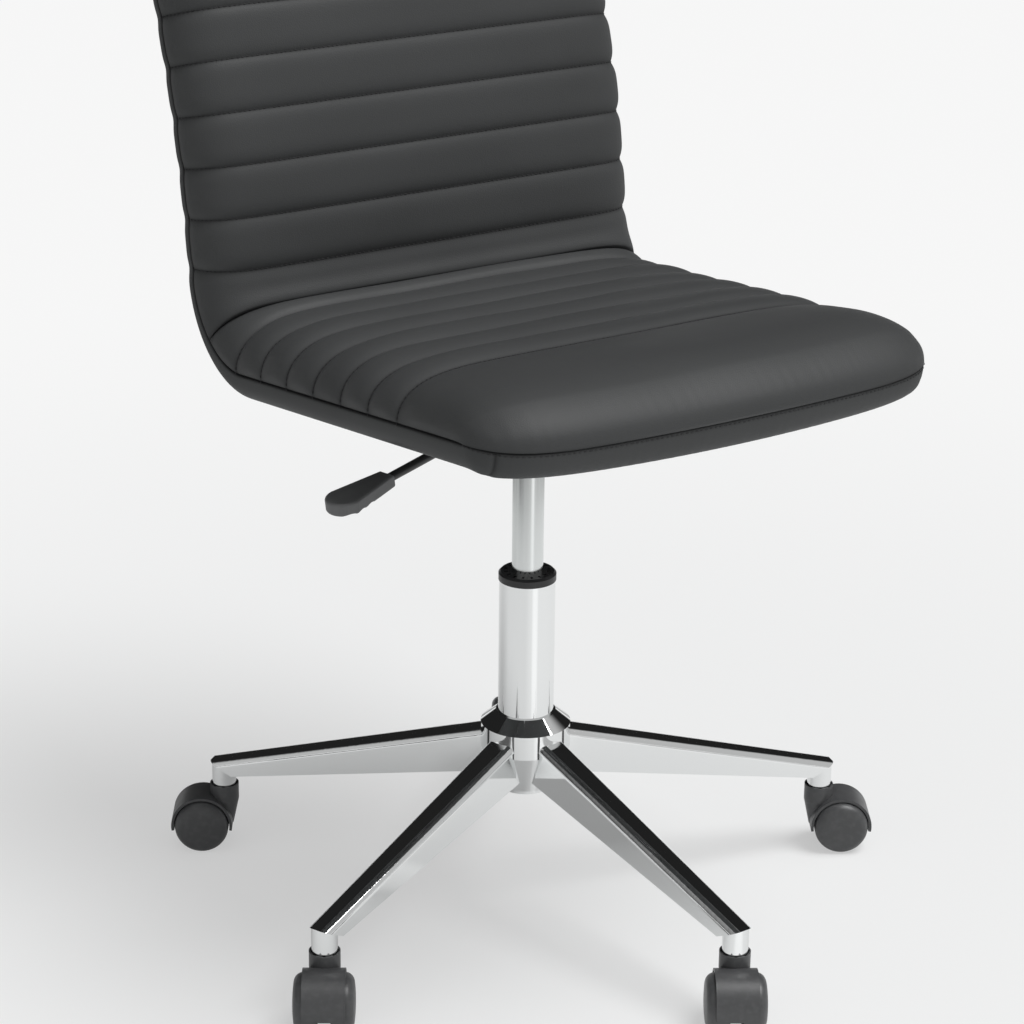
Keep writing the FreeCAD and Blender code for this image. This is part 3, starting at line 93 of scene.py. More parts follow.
# %% [markdown]
# The seat and back are one shell of bent plywood, so the upholstery follows one line in side view: a
# waterfall at the front, a flat seat, a tight bend, a lumbar curve and a straight crest. A curve object
# could hold that line, but a small function gives any point on it exactly: how far along the line, and
# how high off it. The lengths are those of the CAD source, in metres.

# %% Describe the line of the seat
SEAT_PLANE = 0.51401
SEAT_SLOPE = math.radians(6.8)
BACK_LEAN = math.radians(6)
CREST_LEAN = math.radians(17)
WATERFALL_START = -0.230
WATERFALL_RADIUS = 0.165
SEAT_CORNER = 0.188
BEND_RADIUS = 0.076
LUMBAR_RADIUS = 1.0
BACK_LENGTH = 0.466

BEND_TURN = math.pi / 2 - BACK_LEAN + SEAT_SLOPE
BEND_START = SEAT_CORNER - BEND_RADIUS * math.tan(BEND_TURN / 2)
BEND_END = BEND_START + BEND_RADIUS * BEND_TURN
CREASE = (BEND_START + BEND_END) / 2
LUMBAR_END = BEND_END + LUMBAR_RADIUS * (CREST_LEAN - BACK_LEAN)
TOP_END = BEND_END + BACK_LENGTH


def travel(state, length, curve):
    """Point and heading after a run of the given length and curvature."""
    y, z, heading = state
    if curve == 0:
        return y + length * np.cos(heading), z + length * np.sin(heading), heading
    turned = heading + curve * length
    across = (np.sin(turned) - np.sin(heading)) / curve
    rise = (np.cos(heading) - np.cos(turned)) / curve
    return y + across, z + rise, turned


OVER_COLUMN = (0.0, SEAT_PLANE, -SEAT_SLOPE)
AT_BEND = travel(OVER_COLUMN, BEND_START, 0)
AT_LUMBAR = travel(AT_BEND, BEND_END - BEND_START, 1 / BEND_RADIUS)
AT_CREST = travel(AT_LUMBAR, LUMBAR_END - BEND_END, -1 / LUMBAR_RADIUS)
RUNS = [
    (WATERFALL_START, travel(OVER_COLUMN, WATERFALL_START, 0), WATERFALL_START, -1 / WATERFALL_RADIUS),
    (BEND_START, OVER_COLUMN, 0.0, 0),
    (BEND_END, AT_BEND, BEND_START, 1 / BEND_RADIUS),
    (LUMBAR_END, AT_LUMBAR, BEND_END, -1 / LUMBAR_RADIUS),
    (math.inf, AT_CREST, LUMBAR_END, 0),
]


def on_shell(x, along, height):
    """Points at distances along the seat's line, and at heights off it towards the sitter."""
    x, along, height = np.broadcast_arrays(np.asarray(x, float), along, height)
    y, z, heading = np.zeros_like(x), np.zeros_like(x), np.zeros_like(x)
    start = -math.inf
    for end, state, origin, curve in RUNS:
        here = (along > start) & (along <= end)
        y[here], z[here], heading[here] = travel(state, along[here] - origin, curve)
        start = end
    return np.stack([x, y - height * np.sin(heading), z + height * np.cos(heading)], axis=-1)


print("crease at", on_shell(0.0, CREASE, 0.0).round(3), "top at", on_shell(0.0, TOP_END, 0.0).round(3))

# %% [markdown]
# Each cushion is a grid: columns across the chair and rows along its line. The columns lie evenly along
# the rounded cross-section, so the drawn-in sides have as many as the top needs, and the rows crowd
# towards each sewn line, where the form turns sharply. A voxel remesh would lose these lines, and here
# the grid lets each seam stay a row of its own.

# %% Shape the sections of a cushion
HALF_WIDTH = 0.224
SEAT_SQUARENESS = 8
BACK_SQUARENESS = 12
NOSE_SQUARENESS = 2.0
SEAT_FRONT = -0.301
FRONT_BOW = 0.014
FRONT_CORNER = 0.044
TOP_CORNER = 0.046
COLUMNS = 129
DENSE = 4001
EDGE_POWER = 3
CROWDING = 0.45


def fullness(share, squareness=SEAT_SQUARENESS):
    """Height of a crown across the width, as a share: 1 in the middle and 0 at the side seams."""
    return np.sqrt(np.maximum(1 - np.abs(share) ** squareness, 0))


def falling(share):
    """Height of a rounded end, from 0 at its edge to 1 where it runs level."""
    return (1 - (1 - share) ** NOSE_SQUARENESS) ** (1 / NOSE_SQUARENESS)


def front_edge(share):
    """How far the front seam lies behind the frontmost point."""
    return FRONT_BOW * share ** 2 + FRONT_CORNER * (1 - fullness(share))


def top_edge(share):
    """How far the top seam lies below the topmost point, as a negative distance."""
    return -TOP_CORNER * (1 - fullness(share))


def spread_evenly(values, along, up, count):
    """Values of a parameter that lie evenly along the curve that it traces."""
    run = np.hypot(np.diff(along), np.diff(up))
    length = np.concatenate([[0], np.cumsum(run)])
    return np.interp(np.linspace(0, length[-1], count), length, values)


def column_shares(profile, height):
    """Shares of the half width, even along a cross-section, from one side seam to the other."""
    steps = np.linspace(-1, 1, DENSE)
    shares = np.sign(steps) * (1 - (1 - np.abs(steps)) ** EDGE_POWER)
    return spread_evenly(shares, shares * HALF_WIDTH, profile(shares) * height, COLUMNS)


def crowded(count):
    """Steps from 0 to 1 that crowd a little towards both ends."""
    even = np.linspace(0, 1, count + 1)
    return (1 - CROWDING) * even + CROWDING * (1 - np.cos(np.pi * even)) / 2


print("columns", COLUMNS, "over", 2 * HALF_WIDTH, "m")

# %% [markdown]
# A row is described by where it lies along the line, how high the foam is there, how far it swells into a
# roll, and how much it follows the rounded front or top edge. The seat has seven sewn lines behind a
# smooth waterfall front, and its foam grows thicker towards the fold. The back has ten lines and flatter
# rolls. Between two lines the foam swells and dives steeply to the stitches.

# %% List the rows of the seat and the back
SEAT_FOAM_FRONT = 0.037
SEAT_FOAM_REAR = 0.046
SEAT_ROLL = 0.006
BACK_FOAM = 0.045
BACK_ROLL = 0.003
CREASE_HEIGHT = 0.044
SEAM_GAP = 0.0004
SEAT_LINE_FIRST = -0.147
SEAT_LINE_PITCH = 0.0444
SEAT_LINES = 7
FLAT_LENGTH = 0.054
BACK_LINE_FIRST = BEND_END + 0.006
BACK_LINE_PITCH = 0.0435
BACK_LINES = 10
SEAT_ROLL_SQUARENESS = 2.6
BACK_ROLL_SQUARENESS = 4.5
PANEL_ROWS = 11
NOSE_ROWS = 32
FLAT_ROWS = 14
TOP_ROWS = 24
NOSE_ROLL_START = 0.3
NOSE_ROLL_GROWTH = 2
FOLD_SHARES = (1.0, 0.8, 0.55)


def seat_foam(along):
    """Height of the seat's foam under a sewn line."""
    share = max((along - SEAT_LINE_FIRST) / (CREASE - SEAT_LINE_FIRST), 0)
    return SEAT_FOAM_FRONT + (SEAT_FOAM_REAR - SEAT_FOAM_FRONT) * share


class Rows:
    """Lists of what each row of a cushion has, in order along the chair's line."""

    def __init__(self):
        self.along, self.foam, self.roll, self.edge, self.sewn = [], [], [], [], []

    def add(self, along, foam, roll, edge=0.0, sewn=False):
        for listed, value in zip((self.along, self.foam, self.roll, self.edge, self.sewn),
                                 (along, foam, roll, edge, sewn)):
            listed.append(value)

    def add_panel(self, start, end, roll, squareness):
        """A roll from one sewn line, given by its place and foam height, up to and not with the next."""
        for step in crowded(PANEL_ROWS)[:-1]:
            along, foam = [first + (last - first) * step for first, last in zip(start, end)]
            self.add(along, foam, roll * (1 - abs(2 * step - 1) ** squareness), sewn=step == 0)

    def arrays(self):
        return [np.array(listed) for listed in (self.along, self.foam, self.roll, self.edge, self.sewn)]


def nose_steps(length, height, count):
    """Steps from an edge to where the nose runs level, even along its curve."""
    steps = np.linspace(0, 1, DENSE) ** 2
    return spread_evenly(steps, steps * length, falling(steps) * height, count)


def nose_roll(step):
    """How much of its roll a nose has, growing from its edge."""
    return min(1.0, NOSE_ROLL_START + NOSE_ROLL_GROWTH * step)


crease = (CREASE, CREASE_HEIGHT)
seat_rows = Rows()
nose_end = SEAT_LINE_FIRST - FLAT_LENGTH
for step in nose_steps(nose_end - SEAT_FRONT, SEAT_FOAM_FRONT, NOSE_ROWS)[:-1]:
    seat_rows.add(SEAT_FRONT + (nose_end - SEAT_FRONT) * step, SEAT_FOAM_FRONT * falling(step),
                  SEAT_ROLL * nose_roll(step), 1 - step)
for step in crowded(FLAT_ROWS)[:-1]:
    seat_rows.add(nose_end + FLAT_LENGTH * step, SEAT_FOAM_FRONT,
                  SEAT_ROLL * (1 - step ** SEAT_ROLL_SQUARENESS))
seat_places = [SEAT_LINE_FIRST + SEAT_LINE_PITCH * number for number in range(SEAT_LINES)]
seat_seams = [(place, seat_foam(place)) for place in seat_places] + [crease]
for start, end in zip(seat_seams, seat_seams[1:]):
    seat_rows.add_panel(start, end, SEAT_ROLL, SEAT_ROLL_SQUARENESS)
for share in FOLD_SHARES:
    seat_rows.add(CREASE, CREASE_HEIGHT * share, 0.0, sewn=True)

back_rows = Rows()
for share in FOLD_SHARES[:0:-1]:
    back_rows.add(CREASE, CREASE_HEIGHT * share, 0.0, sewn=True)
back_places = [BACK_LINE_FIRST + BACK_LINE_PITCH * number for number in range(BACK_LINES)]
back_seams = [crease] + [(place, BACK_FOAM) for place in back_places]
for start, end in zip(back_seams, back_seams[1:]):
    back_rows.add_panel(start, end, BACK_ROLL, BACK_ROLL_SQUARENESS)
top_line = back_places[-1]
for step in nose_steps(TOP_END - top_line, BACK_FOAM, TOP_ROWS)[::-1]:
    rolled = (1 - step ** BACK_ROLL_SQUARENESS) * nose_roll(step)
    back_rows.add(TOP_END + (top_line - TOP_END) * step, BACK_FOAM * falling(step),
                  BACK_ROLL * rolled, 1 - step, step == 1)
print("rows: seat", len(seat_rows.along), "back", len(back_rows.along))

# %% [markdown]
# The rows and columns become points in two steps. First comes the smooth foam under the cover, and then
# every point moves out along that form's own direction by its share of the roll. So the rolls run over
# the rounded sides and down to the side seam, as they do on the real chair, instead of fading out where
# the top ends. The front seam rises a little in its middle, small puckers pull in along it, and the foam
# is nowhere quite even. A row and a column inside the seam turn the edge under.

# %% Turn rows into points
SIDE_SHARE = 0.5
SEAM_ROOM = 0.010
TUCK = 0.004
FRONT_RISE = 0.006
PUCKER_REACH = 0.009
PUCKER_DEPTH = 0.0009
PINCH = 0.0016
PINCH_REACH = 0.007
UNEVEN_DEPTH = 0.0006
PUCKER_SHARES = (0.6, 0.4)
PUCKER_WAVES = ((560, 2.1, 47, 0), (910, 1.7, 71, 1))
FOAM_WAVES = ((31, 2.0, 37, 0), (61, 1.5, 27, 1))
TINY = 1e-9


def outward(points):
    """Directions across a grid of points, out of the chair's padding."""
    down_rows, along_rows = np.gradient(points, axis=1), np.gradient(points, axis=0)
    normals = np.cross(down_rows, along_rows)
    return normals / np.maximum(np.linalg.norm(normals, axis=-1, keepdims=True), TINY)


def wavering(place, beside, wave, drift, slow, start):
    """A wave in one direction, whose crests drift to and fro along another."""
    return np.sin(wave * place + drift * np.sin(slow * beside + start))


def puckers(x):
    """Uneven little gathers along a seam, from -1 to 1."""
    return sum(share * wavering(x, x, *waves) for share, waves in zip(PUCKER_SHARES, PUCKER_WAVES))


def unevenness(points):
    """Slow rises and dips of hand-laid foam, from -1 to 1."""
    x, y, z = np.moveaxis(points, -1, 0)
    along = y - z
    return (wavering(x, along, *FOAM_WAVES[0]) + wavering(along, x, *FOAM_WAVES[1])) / 2


def smooth_step(value):
    """A rise from 0 to 1 that starts and ends gently."""
    held = np.clip(value, 0, 1)
    return held * held * (3 - 2 * held)


def front_rise(share):
    """Height of the front seam over the plywood's line."""
    return FRONT_RISE * (1 - share ** 2)


def half_width(along):
    """Half the width of the upholstery, drawn in a little where the back's lines meet the side seams."""
    to_line = np.abs(np.asarray(along)[..., None] - np.array(back_places)).min(axis=-1)
    return HALF_WIDTH - PINCH * np.exp(-(to_line / PINCH_REACH) ** 2)


def cushion_points(rows, squareness, edge_of, rise):
    """Points of a cushion's upper face, rows first."""
    along, foam, roll, edge, _ = [values[:, None] for values in rows.arrays()]
    shares = column_shares(lambda share: fullness(share, squareness), BACK_FOAM)[None, :]
    full = fullness(shares, squareness)
    low = SEAM_GAP + rise(shares) * edge
    above = np.maximum(foam * full - low, 0)
    points = on_shell(shares * half_width(along), along + edge * edge_of(shares), low + above)
    normals = outward(points)
    lift = smooth_step(above / SEAM_ROOM)
    swell = (SIDE_SHARE + (1 - SIDE_SHARE) * full) * roll * lift
    gather = PUCKER_DEPTH * puckers(points[..., 0]) * np.exp(-above / PUCKER_REACH) * (edge > 0) * lift
    uneven = UNEVEN_DEPTH * unevenness(points) * lift
    return points + normals * (swell + gather + uneven)[..., None]


def tuck_edges(points, at_front):
    """Adds a column inside each side seam and a row inside an end seam, to turn the edge under."""
    sideways = np.array([TUCK, 0, 0])
    points = np.concatenate([points[:, :1] + sideways, points, points[:, -1:] - sideways], axis=1)
    edge, inside = (SEAT_FRONT, SEAT_FRONT + TUCK) if at_front else (TOP_END, TOP_END - TUCK)
    inwards = on_shell(0.0, inside, 0.0) - on_shell(0.0, edge, 0.0)
    if at_front:
        return np.concatenate([points[:1] + inwards, points], axis=0)
    return np.concatenate([points, points[-1:] + inwards], axis=0)


seat_points = tuck_edges(cushion_points(seat_rows, SEAT_SQUARENESS, front_edge, front_rise), True)
back_points = cushion_points(back_rows, BACK_SQUARENESS, top_edge, lambda share: 0 * share)
back_points = tuck_edges(back_points, False)
print("points: seat", seat_points.shape, "back", back_points.shape)

# %% [markdown]
# A cushion has to be a closed form, because air pressure pushes out from inside it. Its underside lies
# flat on the plywood, so a ladder of long faces closes it, with one face at each end. Each point also
# keeps how near it is to a sewn line. The leather's finish reads that number later, to paint shade into
# the valleys and polish the crests.

# %% Build closed meshes from grids
CREASE_SHARPNESS = 0.55
LINE_SHADE = 0.003
EDGE_SHADE = 0.0015


def closed_grid(name, points, flipped=False):
    """An object whose grid of points is closed by a ladder of faces from side to side."""
    rows, columns = points.shape[:2]
    index = np.arange(rows * columns).reshape(rows, columns)
    faces = []
    for row, after in zip(index, index[1:]):
        for left, right, far_right, far_left in zip(row, row[1:], after[1:], after):
            faces.append((left, right, far_right, far_left))
        faces.append((row[0], after[0], after[-1], row[-1]))
    faces.append(tuple(index[0][::-1]))
    faces.append(tuple(index[-1]))
    if flipped:
        faces = [face[::-1] for face in faces]
    mesh = bpy.data.meshes.new(name)
    mesh.from_pydata(points.reshape(-1, 3).tolist(), [], [[int(place) for place in face] for face in faces])
    mesh.update()
    piece = bpy.data.objects.new(name, mesh)
    scene.collection.objects.link(piece)
    return piece


def mark_seams(piece, columns, sewn_rows, nearness):
    """Keeps sewn rows sharp when the mesh is smoothed, and stores each point's nearness to a seam."""
    mesh = piece.data
    sharp = mesh.attributes.new("crease_edge", "FLOAT", "EDGE")
    sewn = set(int(row) for row in sewn_rows)
    ends = np.zeros(len(mesh.edges) * 2, int)
    mesh.edges.foreach_get("vertices", ends)
    first, second = ends.reshape(-1, 2).T
    along_row = (first // columns == second // columns) & (abs(first - second) == 1)
    on_seam = along_row & np.isin(first // columns, list(sewn))
    sharp.data.foreach_set("value", (on_seam * CREASE_SHARPNESS).astype(np.float32))
    stored = mesh.attributes.new("seam", "FLOAT", "POINT")
    stored.data.foreach_set("value", nearness.reshape(-1).astype(np.float32))


def seam_nearness(points, sewn_rows):
    """1 on a sewn row or on the edge of a grid, fading over a few millimetres."""
    near = np.zeros(points.shape[:2])
    for row in sewn_rows:
        near = np.maximum(near, np.exp(-np.linalg.norm(points - points[row][None], axis=-1) / LINE_SHADE))
    for row in (1, points.shape[0] - 2):
        near = np.maximum(near, np.exp(-np.linalg.norm(points - points[row][None], axis=-1) / EDGE_SHADE))
    for column in (1, points.shape[1] - 2):
        gap = np.linalg.norm(points - points[:, column][:, None], axis=-1)
        near = np.maximum(near, np.exp(-gap / EDGE_SHADE))
    return near


seat_sewn = np.flatnonzero(seat_rows.sewn) + 1
back_sewn = np.flatnonzero(back_rows.sewn)
seat_cushion = closed_grid("seat_cushion", seat_points)
back_cushion = closed_grid("back_cushion", back_points)
mark_seams(seat_cushion, seat_points.shape[1], seat_sewn, seam_nearness(seat_points, seat_sewn))
mark_seams(back_cushion, back_points.shape[1], back_sewn, seam_nearness(back_points, back_sewn))
print("sewn rows: seat", len(seat_sewn), "back", len(back_sewn))

# %% [markdown]
# Foam under a sewn cover pushes it out everywhere except where the thread holds it. Cloth simulation with
# a little pressure inside gives that swelling: the sewn rows, the edges and the underside are pinned, and
# the leather between them stretches. Gravity is off, since foam carries the cover. The movement is
# capped, so the pad keeps the size that the CAD model gives it, and the result is written into the mesh.

# %% Swell the cushions by simulation
PRESSURE = 4.0
FRAMES = 20
SEAT_SWELL = 0.0030
BACK_SWELL = 0.0012
HELD_BAND = 3
LEATHER_CLOTH = {
    "quality": 4,
    "mass": 0.3,
    "tension_stiffness": 12,
    "compression_stiffness": 12,
    "shear_stiffness": 6,
    "bending_stiffness": 0.6,
    "use_pressure": True,
    "uniform_pressure_force": PRESSURE,
    "vertex_group_mass": "held",
}


def swell(piece, pinned, most):
    """Runs the cloth, and writes its capped movement into the piece's own mesh."""
    group = piece.vertex_groups.new(name="held")
    group.add([int(place) for place in pinned], 1.0, "REPLACE")
    cloth = piece.modifiers.new("cloth", "CLOTH")
    for name, value in LEATHER_CLOTH.items():
        setattr(cloth.settings, name, value)
    cloth.settings.effector_weights.gravity = 0.0
    cloth.collision_settings.use_collision = False
    cloth.point_cache.frame_start = 1
    cloth.point_cache.frame_end = FRAMES
    for number in range(1, FRAMES + 1):
        scene.frame_set(number)
    shaped = piece.evaluated_get(bpy.context.evaluated_depsgraph_get()).to_mesh()
    before = np.zeros(len(piece.data.vertices) * 3)
    after = np.zeros_like(before)
    piece.data.vertices.foreach_get("co", before)
    shaped.vertices.foreach_get("co", after)
    moved = (after - before).reshape(-1, 3)
    reach = np.linalg.norm(moved, axis=1)
    held = most * np.tanh(reach / most)
    moved *= (held / np.maximum(reach, TINY))[:, None]
    piece.modifiers.remove(cloth)
    piece.vertex_groups.remove(group)
    piece.data.vertices.foreach_set("co", before + moved.reshape(-1))
    piece.data.update()
    scene.frame_set(1)
    print(piece.name, "swelled by up to %.1f mm, wanted %.1f" % (held.max() * 1000, reach.max() * 1000))


def held_points(shape, sewn_rows):
    """Places of the sewn rows and of a grid's outer rows and columns."""
    rows, columns = shape[:2]
    index = np.arange(rows * columns).reshape(rows, columns)
    kept = [index[list(sewn_rows)], index[:HELD_BAND], index[-HELD_BAND:]]
    kept += [index[:, :HELD_BAND], index[:, -HELD_BAND:]]
    return np.unique(np.concatenate([places.ravel() for places in kept]))


swell(seat_cushion, held_points(seat_points.shape, seat_sewn), SEAT_SWELL)
swell(back_cushion, held_points(back_points.shape, back_sewn), BACK_SWELL)

# %% [markdown]
# Below the seam, one plain piece of the same leather wraps the edge of the shell, closes the underside,
# and goes on round the bend as the rear panel. It has no channels. Its lower edge is rounded by a thin
# pad, it hangs a little deeper in the middle of the front, and a short upright seam joins its ends at
# each front corner. It is made as the cushions are, from a grid, with its depth falling to nothing at the
# seam all round.

# %% Wrap the underside and the rear
UNDER_DEPTH = 0.024
REAR_DEPTH = 0.017
RIM_LENGTH = 0.040
RIM_SQUARENESS = 5
RIM_SOFTNESS = 3.4
FRONT_SAG = 0.005
SAG_REACH = 0.05
EDGE_REACH = 0.1
CORNER_SEAM = 0.945
CORNER_SEAM_WIDTH = 0.0016
CORNER_SEAM_DEPTH = 0.0016
COVER_PUCKER = 0.0003
CORNER_COLUMNS = 2
RIM_ROWS = 18
UNDER_ROWS = 46
REAR_ROWS = 120


def rim(gap):
    """Depth of the wrapped edge as a share, from its gap to the seam."""
    share = np.clip(gap / RIM_LENGTH, 0, 1)
    return (1 - (1 - share) ** RIM_SQUARENESS) ** (1 / RIM_SOFTNESS)


def side_rim(share):
    """The same depth across the width."""
    return rim(HALF_WIDTH * (1 - np.abs(share)))


def rim_rows(count):
    """Gaps to an end seam, even along the rounded rim."""
    gaps = np.linspace(0, 1, DENSE) ** EDGE_POWER * RIM_LENGTH
    return spread_evenly(gaps, gaps, rim(gaps) * UNDER_DEPTH, count)


def cover_shares():
    """Columns of the cover, with some more beside the corner seams."""
    steps = np.arange(-CORNER_COLUMNS, CORNER_COLUMNS + 1)
    beside = CORNER_SEAM + steps * CORNER_SEAM_WIDTH / HALF_WIDTH
    return np.unique(np.concatenate([column_shares(side_rim, UNDER_DEPTH), beside, -beside]))


def corner_nearness(along, shares):
    """1 on the upright seams at the front corners, and 0 away from them."""
    off_corner = (np.abs(shares) - CORNER_SEAM) * HALF_WIDTH / CORNER_SEAM_WIDTH
    return np.exp(-off_corner ** 2) * (along < SEAT_FRONT + RIM_LENGTH / 2)


def cover_points(along, shares):
    """Points of the cover's outer face, from the front seam round the bend to the top seam."""
    along, shares = along[:, None], shares[None, :]
    from_front, from_top = along - SEAT_FRONT, TOP_END - along
    ends = rim(np.minimum(from_front, from_top))
    around = smooth_step((along - BEND_START) / (BEND_END - BEND_START))
    sag = FRONT_SAG * (1 - shares ** 2) * np.exp(-from_front / SAG_REACH)
    depth = (UNDER_DEPTH + (REAR_DEPTH - UNDER_DEPTH) * around + sag) * side_rim(shares) * ends
    rise = front_rise(shares) * (1 - rim(from_front))
    moved = np.clip(1 - from_front / EDGE_REACH, 0, 1) * front_edge(shares)
    moved = moved + np.clip(1 - from_top / EDGE_REACH, 0, 1) * top_edge(shares)
    points = on_shell(shares * half_width(along), along + moved, rise - depth)
    inwards = outward(points)
    groove = CORNER_SEAM_DEPTH * corner_nearness(along, shares)
    gather = COVER_PUCKER * puckers(points[..., 0]) * np.exp(-from_front / PUCKER_REACH) * ends
    return points + inwards * (groove + gather)[..., None]


rim_gaps = rim_rows(RIM_ROWS)
cover_along = np.concatenate([
    SEAT_FRONT + rim_gaps,
    np.linspace(SEAT_FRONT + RIM_LENGTH, BEND_START, UNDER_ROWS)[1:],
    np.linspace(BEND_START, TOP_END - RIM_LENGTH, REAR_ROWS)[1:-1],
    TOP_END - rim_gaps[::-1],
])
cover_columns = cover_shares()
bare_cover = cover_points(cover_along, cover_columns)
lower_points = tuck_edges(tuck_edges(bare_cover, True)[:, 1:-1], False)
lower_cover = closed_grid("lower_cover", lower_points, flipped=True)
at_corner = corner_nearness(cover_along[:, None], cover_columns[None, :])
# This nearness later paints shade along the cover's edges and its corner seams.
lower_near = seam_nearness(lower_points, [])
lower_near[1:-1, 1:-1] = np.maximum(lower_near[1:-1, 1:-1], at_corner)
mark_seams(lower_cover, lower_points.shape[1], [], lower_near)
print("cover", lower_points.shape)

# %% [markdown]
# One level of subdivision turns each grid into smooth leather, and a sharpness stored on the sewn rows
# keeps the valleys narrow. Then each piece hides the solids it stands for, and is attached to the body
# that carries it.

# %% Smooth the upholstery


def smooth(piece):
    """One level of subdivision, written into the piece's mesh."""
    finer = piece.modifiers.new("smooth", "SUBSURF")
    finer.levels = 1
    finer.render_levels = 1
    finer.boundary_smooth = "PRESERVE_CORNERS"
    result = bpy.data.meshes.new_from_object(piece.evaluated_get(bpy.context.evaluated_depsgraph_get()))
    piece.modifiers.remove(finer)
    result.name = piece.name
    piece.data = result
    result.polygons.foreach_set("use_smooth", np.ones(len(result.polygons), bool))
    result.update()


upholstery = {
    seat_cushion: (["seat_pad"], 0.8),
    back_cushion: (["back_pad"], 0.8),
    lower_cover: (["seat_under_cover", "back_cover"], 0.9),
}
for piece, (stood_for, fill) in upholstery.items():
    smooth(piece)
    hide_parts(*stood_for)
    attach(piece, "seat")
    print(piece.name, len(piece.data.polygons), "faces")

# %% [markdown]
# Finishes are written as small sums. One class wraps a socket, so that adding or multiplying two of them
# puts the Math node in place, and one function adds any other node with its settings and its sockets.
# Without them a finish is a page of node and link calls in which the thought is hard to see.

# %% Make helpers for nodes


class Wire:
    """An output socket that works in sums."""

    def __init__(self, tree, socket):
        self.tree = tree
        self.socket = socket

    def sum_with(self, operation, first, second):
        """A Math node's result."""
        return wire(self.tree, "ShaderNodeMath", 0, {"operation": operation}, {0: first, 1: second})

    def __add__(self, other):
        return self.sum_with("ADD", self, other)

    def __radd__(self, other):
        return self.sum_with("ADD", other, self)

    def __sub__(self, other):
        return self.sum_with("SUBTRACT", self, other)

    def __rsub__(self, other):
        return self.sum_with("SUBTRACT", other, self)

    def __mul__(self, other):
        return self.sum_with("MULTIPLY", self, other)

    def __rmul__(self, other):
        return self.sum_with("MULTIPLY", other, self)


def plug(tree, socket, value):
    """Links a wire to a socket, or sets the socket to a plain value."""
    if isinstance(value, Wire):
        tree.links.new(value.socket, socket)
    else:
        socket.default_value = value


def add_node(tree, kind, settings=None, values=None):
    """Adds a node, sets it up, and fills its sockets."""
    node = tree.nodes.new(kind)
    for name, setting in (settings or {}).items():
        if name == "stops":
            ramp = node.color_ramp.elements
            for stop, (place, level) in zip((ramp[0], ramp[1]), setting):
                stop.position = place
                stop.color = (level, level, level, 1)
        else:
            setattr(node, name, setting)
    for name, value in (values or {}).items():
        plug(tree, node.inputs[name], value)
    return node


def wire(tree, kind, output, settings=None, values=None):
    """Adds a node, and gives one of its outputs."""
    return Wire(tree, add_node(tree, kind, settings, values).outputs[output])


class Finish:
    """A material with a plain colour and roughness, and with patterns that are laid over them."""

    def __init__(self, name, colour, roughness, metallic=0.0):
        self.material = bpy.data.materials.new(name)
        self.material.use_nodes = True
        self.tree = self.material.node_tree
        self.shader = self.tree.nodes["Principled BSDF"]
        self.colour = colour
        self.roughness = roughness
        self.set("Base Color", (*colour, 1))
        self.set("Roughness", roughness)
        self.set("Metallic", metallic)
        self.place = self.add("ShaderNodeTexCoord", "Object")

    def add(self, kind, output, settings=None, values=None):
        """An output of a new node of this material."""
        return wire(self.tree, kind, output, settings, values)

    def set(self, socket, value):
        """Fills a socket of the shader."""
        plug(self.tree, self.shader.inputs[socket], value)

    def noise(self, scale, detail=2.0, place=None):
        """A cloudy pattern, from 0 to 1."""
        values = {"Vector": place or self.place, "Scale": scale, "Detail": detail}
        return self.add("ShaderNodeTexNoise", "Fac", {}, values)

    def cells(self, scale):
        """A pattern of cells, 0 in the middle of each."""
        return self.add("ShaderNodeTexVoronoi", "Distance", {}, {"Vector": self.place, "Scale": scale})

    def stretched(self, scale):
        """Places for a pattern that is drawn out along an axis."""
        return self.add("ShaderNodeMapping", "Vector", {}, {"Vector": self.place, "Scale": scale})

    def ramp(self, value, low, high):
        """A value pulled apart between two levels, from 0 to 1."""
        return self.add("ShaderNodeValToRGB", "Color", {"stops": ((low, 0), (high, 1))}, {"Fac": value})

    def tint(self, amount, other):
        """Mixes another colour into the plain one: sockets 6 and 7 of a Mix node are its two colours."""
        values = {0: amount, 6: (*self.colour, 1), 7: (*other, 1)}
        self.set("Base Color", self.add("ShaderNodeMix", 2, {"data_type": "RGBA"}, values))

    def roughen(self, amount):
        """Adds a pattern to the plain roughness."""
        self.set("Roughness", self.roughness + amount)

    def bump(self, height, depth, strength):
        """Makes light fall as on a surface with that height, without moving it."""
        values = {"Height": height, "Distance": depth, "Strength": strength}
        self.set("Normal", self.add("ShaderNodeBump", "Normal", {}, values))


print("helpers for nodes:", [helper.__name__ for helper in (Wire, plug, add_node, wire, Finish)])

# %% [markdown]
# The leatherette is a dark neutral grey with a soft satin sheen. Close up it has a fine pebbled grain, a
# little cloudiness in its colour, painted shade in its valleys, and crests that are rubbed smooth. The
# grain is a cell texture of about a millimetre, mixed with finer noise. It is bump only, because pebbles
# that small would take millions of faces. The cloudiness and the valleys are in the colour and the
# roughness, and the valleys' part of the colour is painted shade.

# %% Mix the leather
LEATHER_DARK = (0.0200, 0.0205, 0.0210)
LEATHER_LIGHT = (0.0495, 0.0512, 0.0520)
LEATHER_GLOSS = 0.27
PAINTED_SEAM_SHADE, SEAM_ROUGHNESS = 0.9, 0.15
CLOUD_SHADE, CLOUD_ROUGHNESS = 0.5, 0.12
PEBBLE_SHARE = 0.7

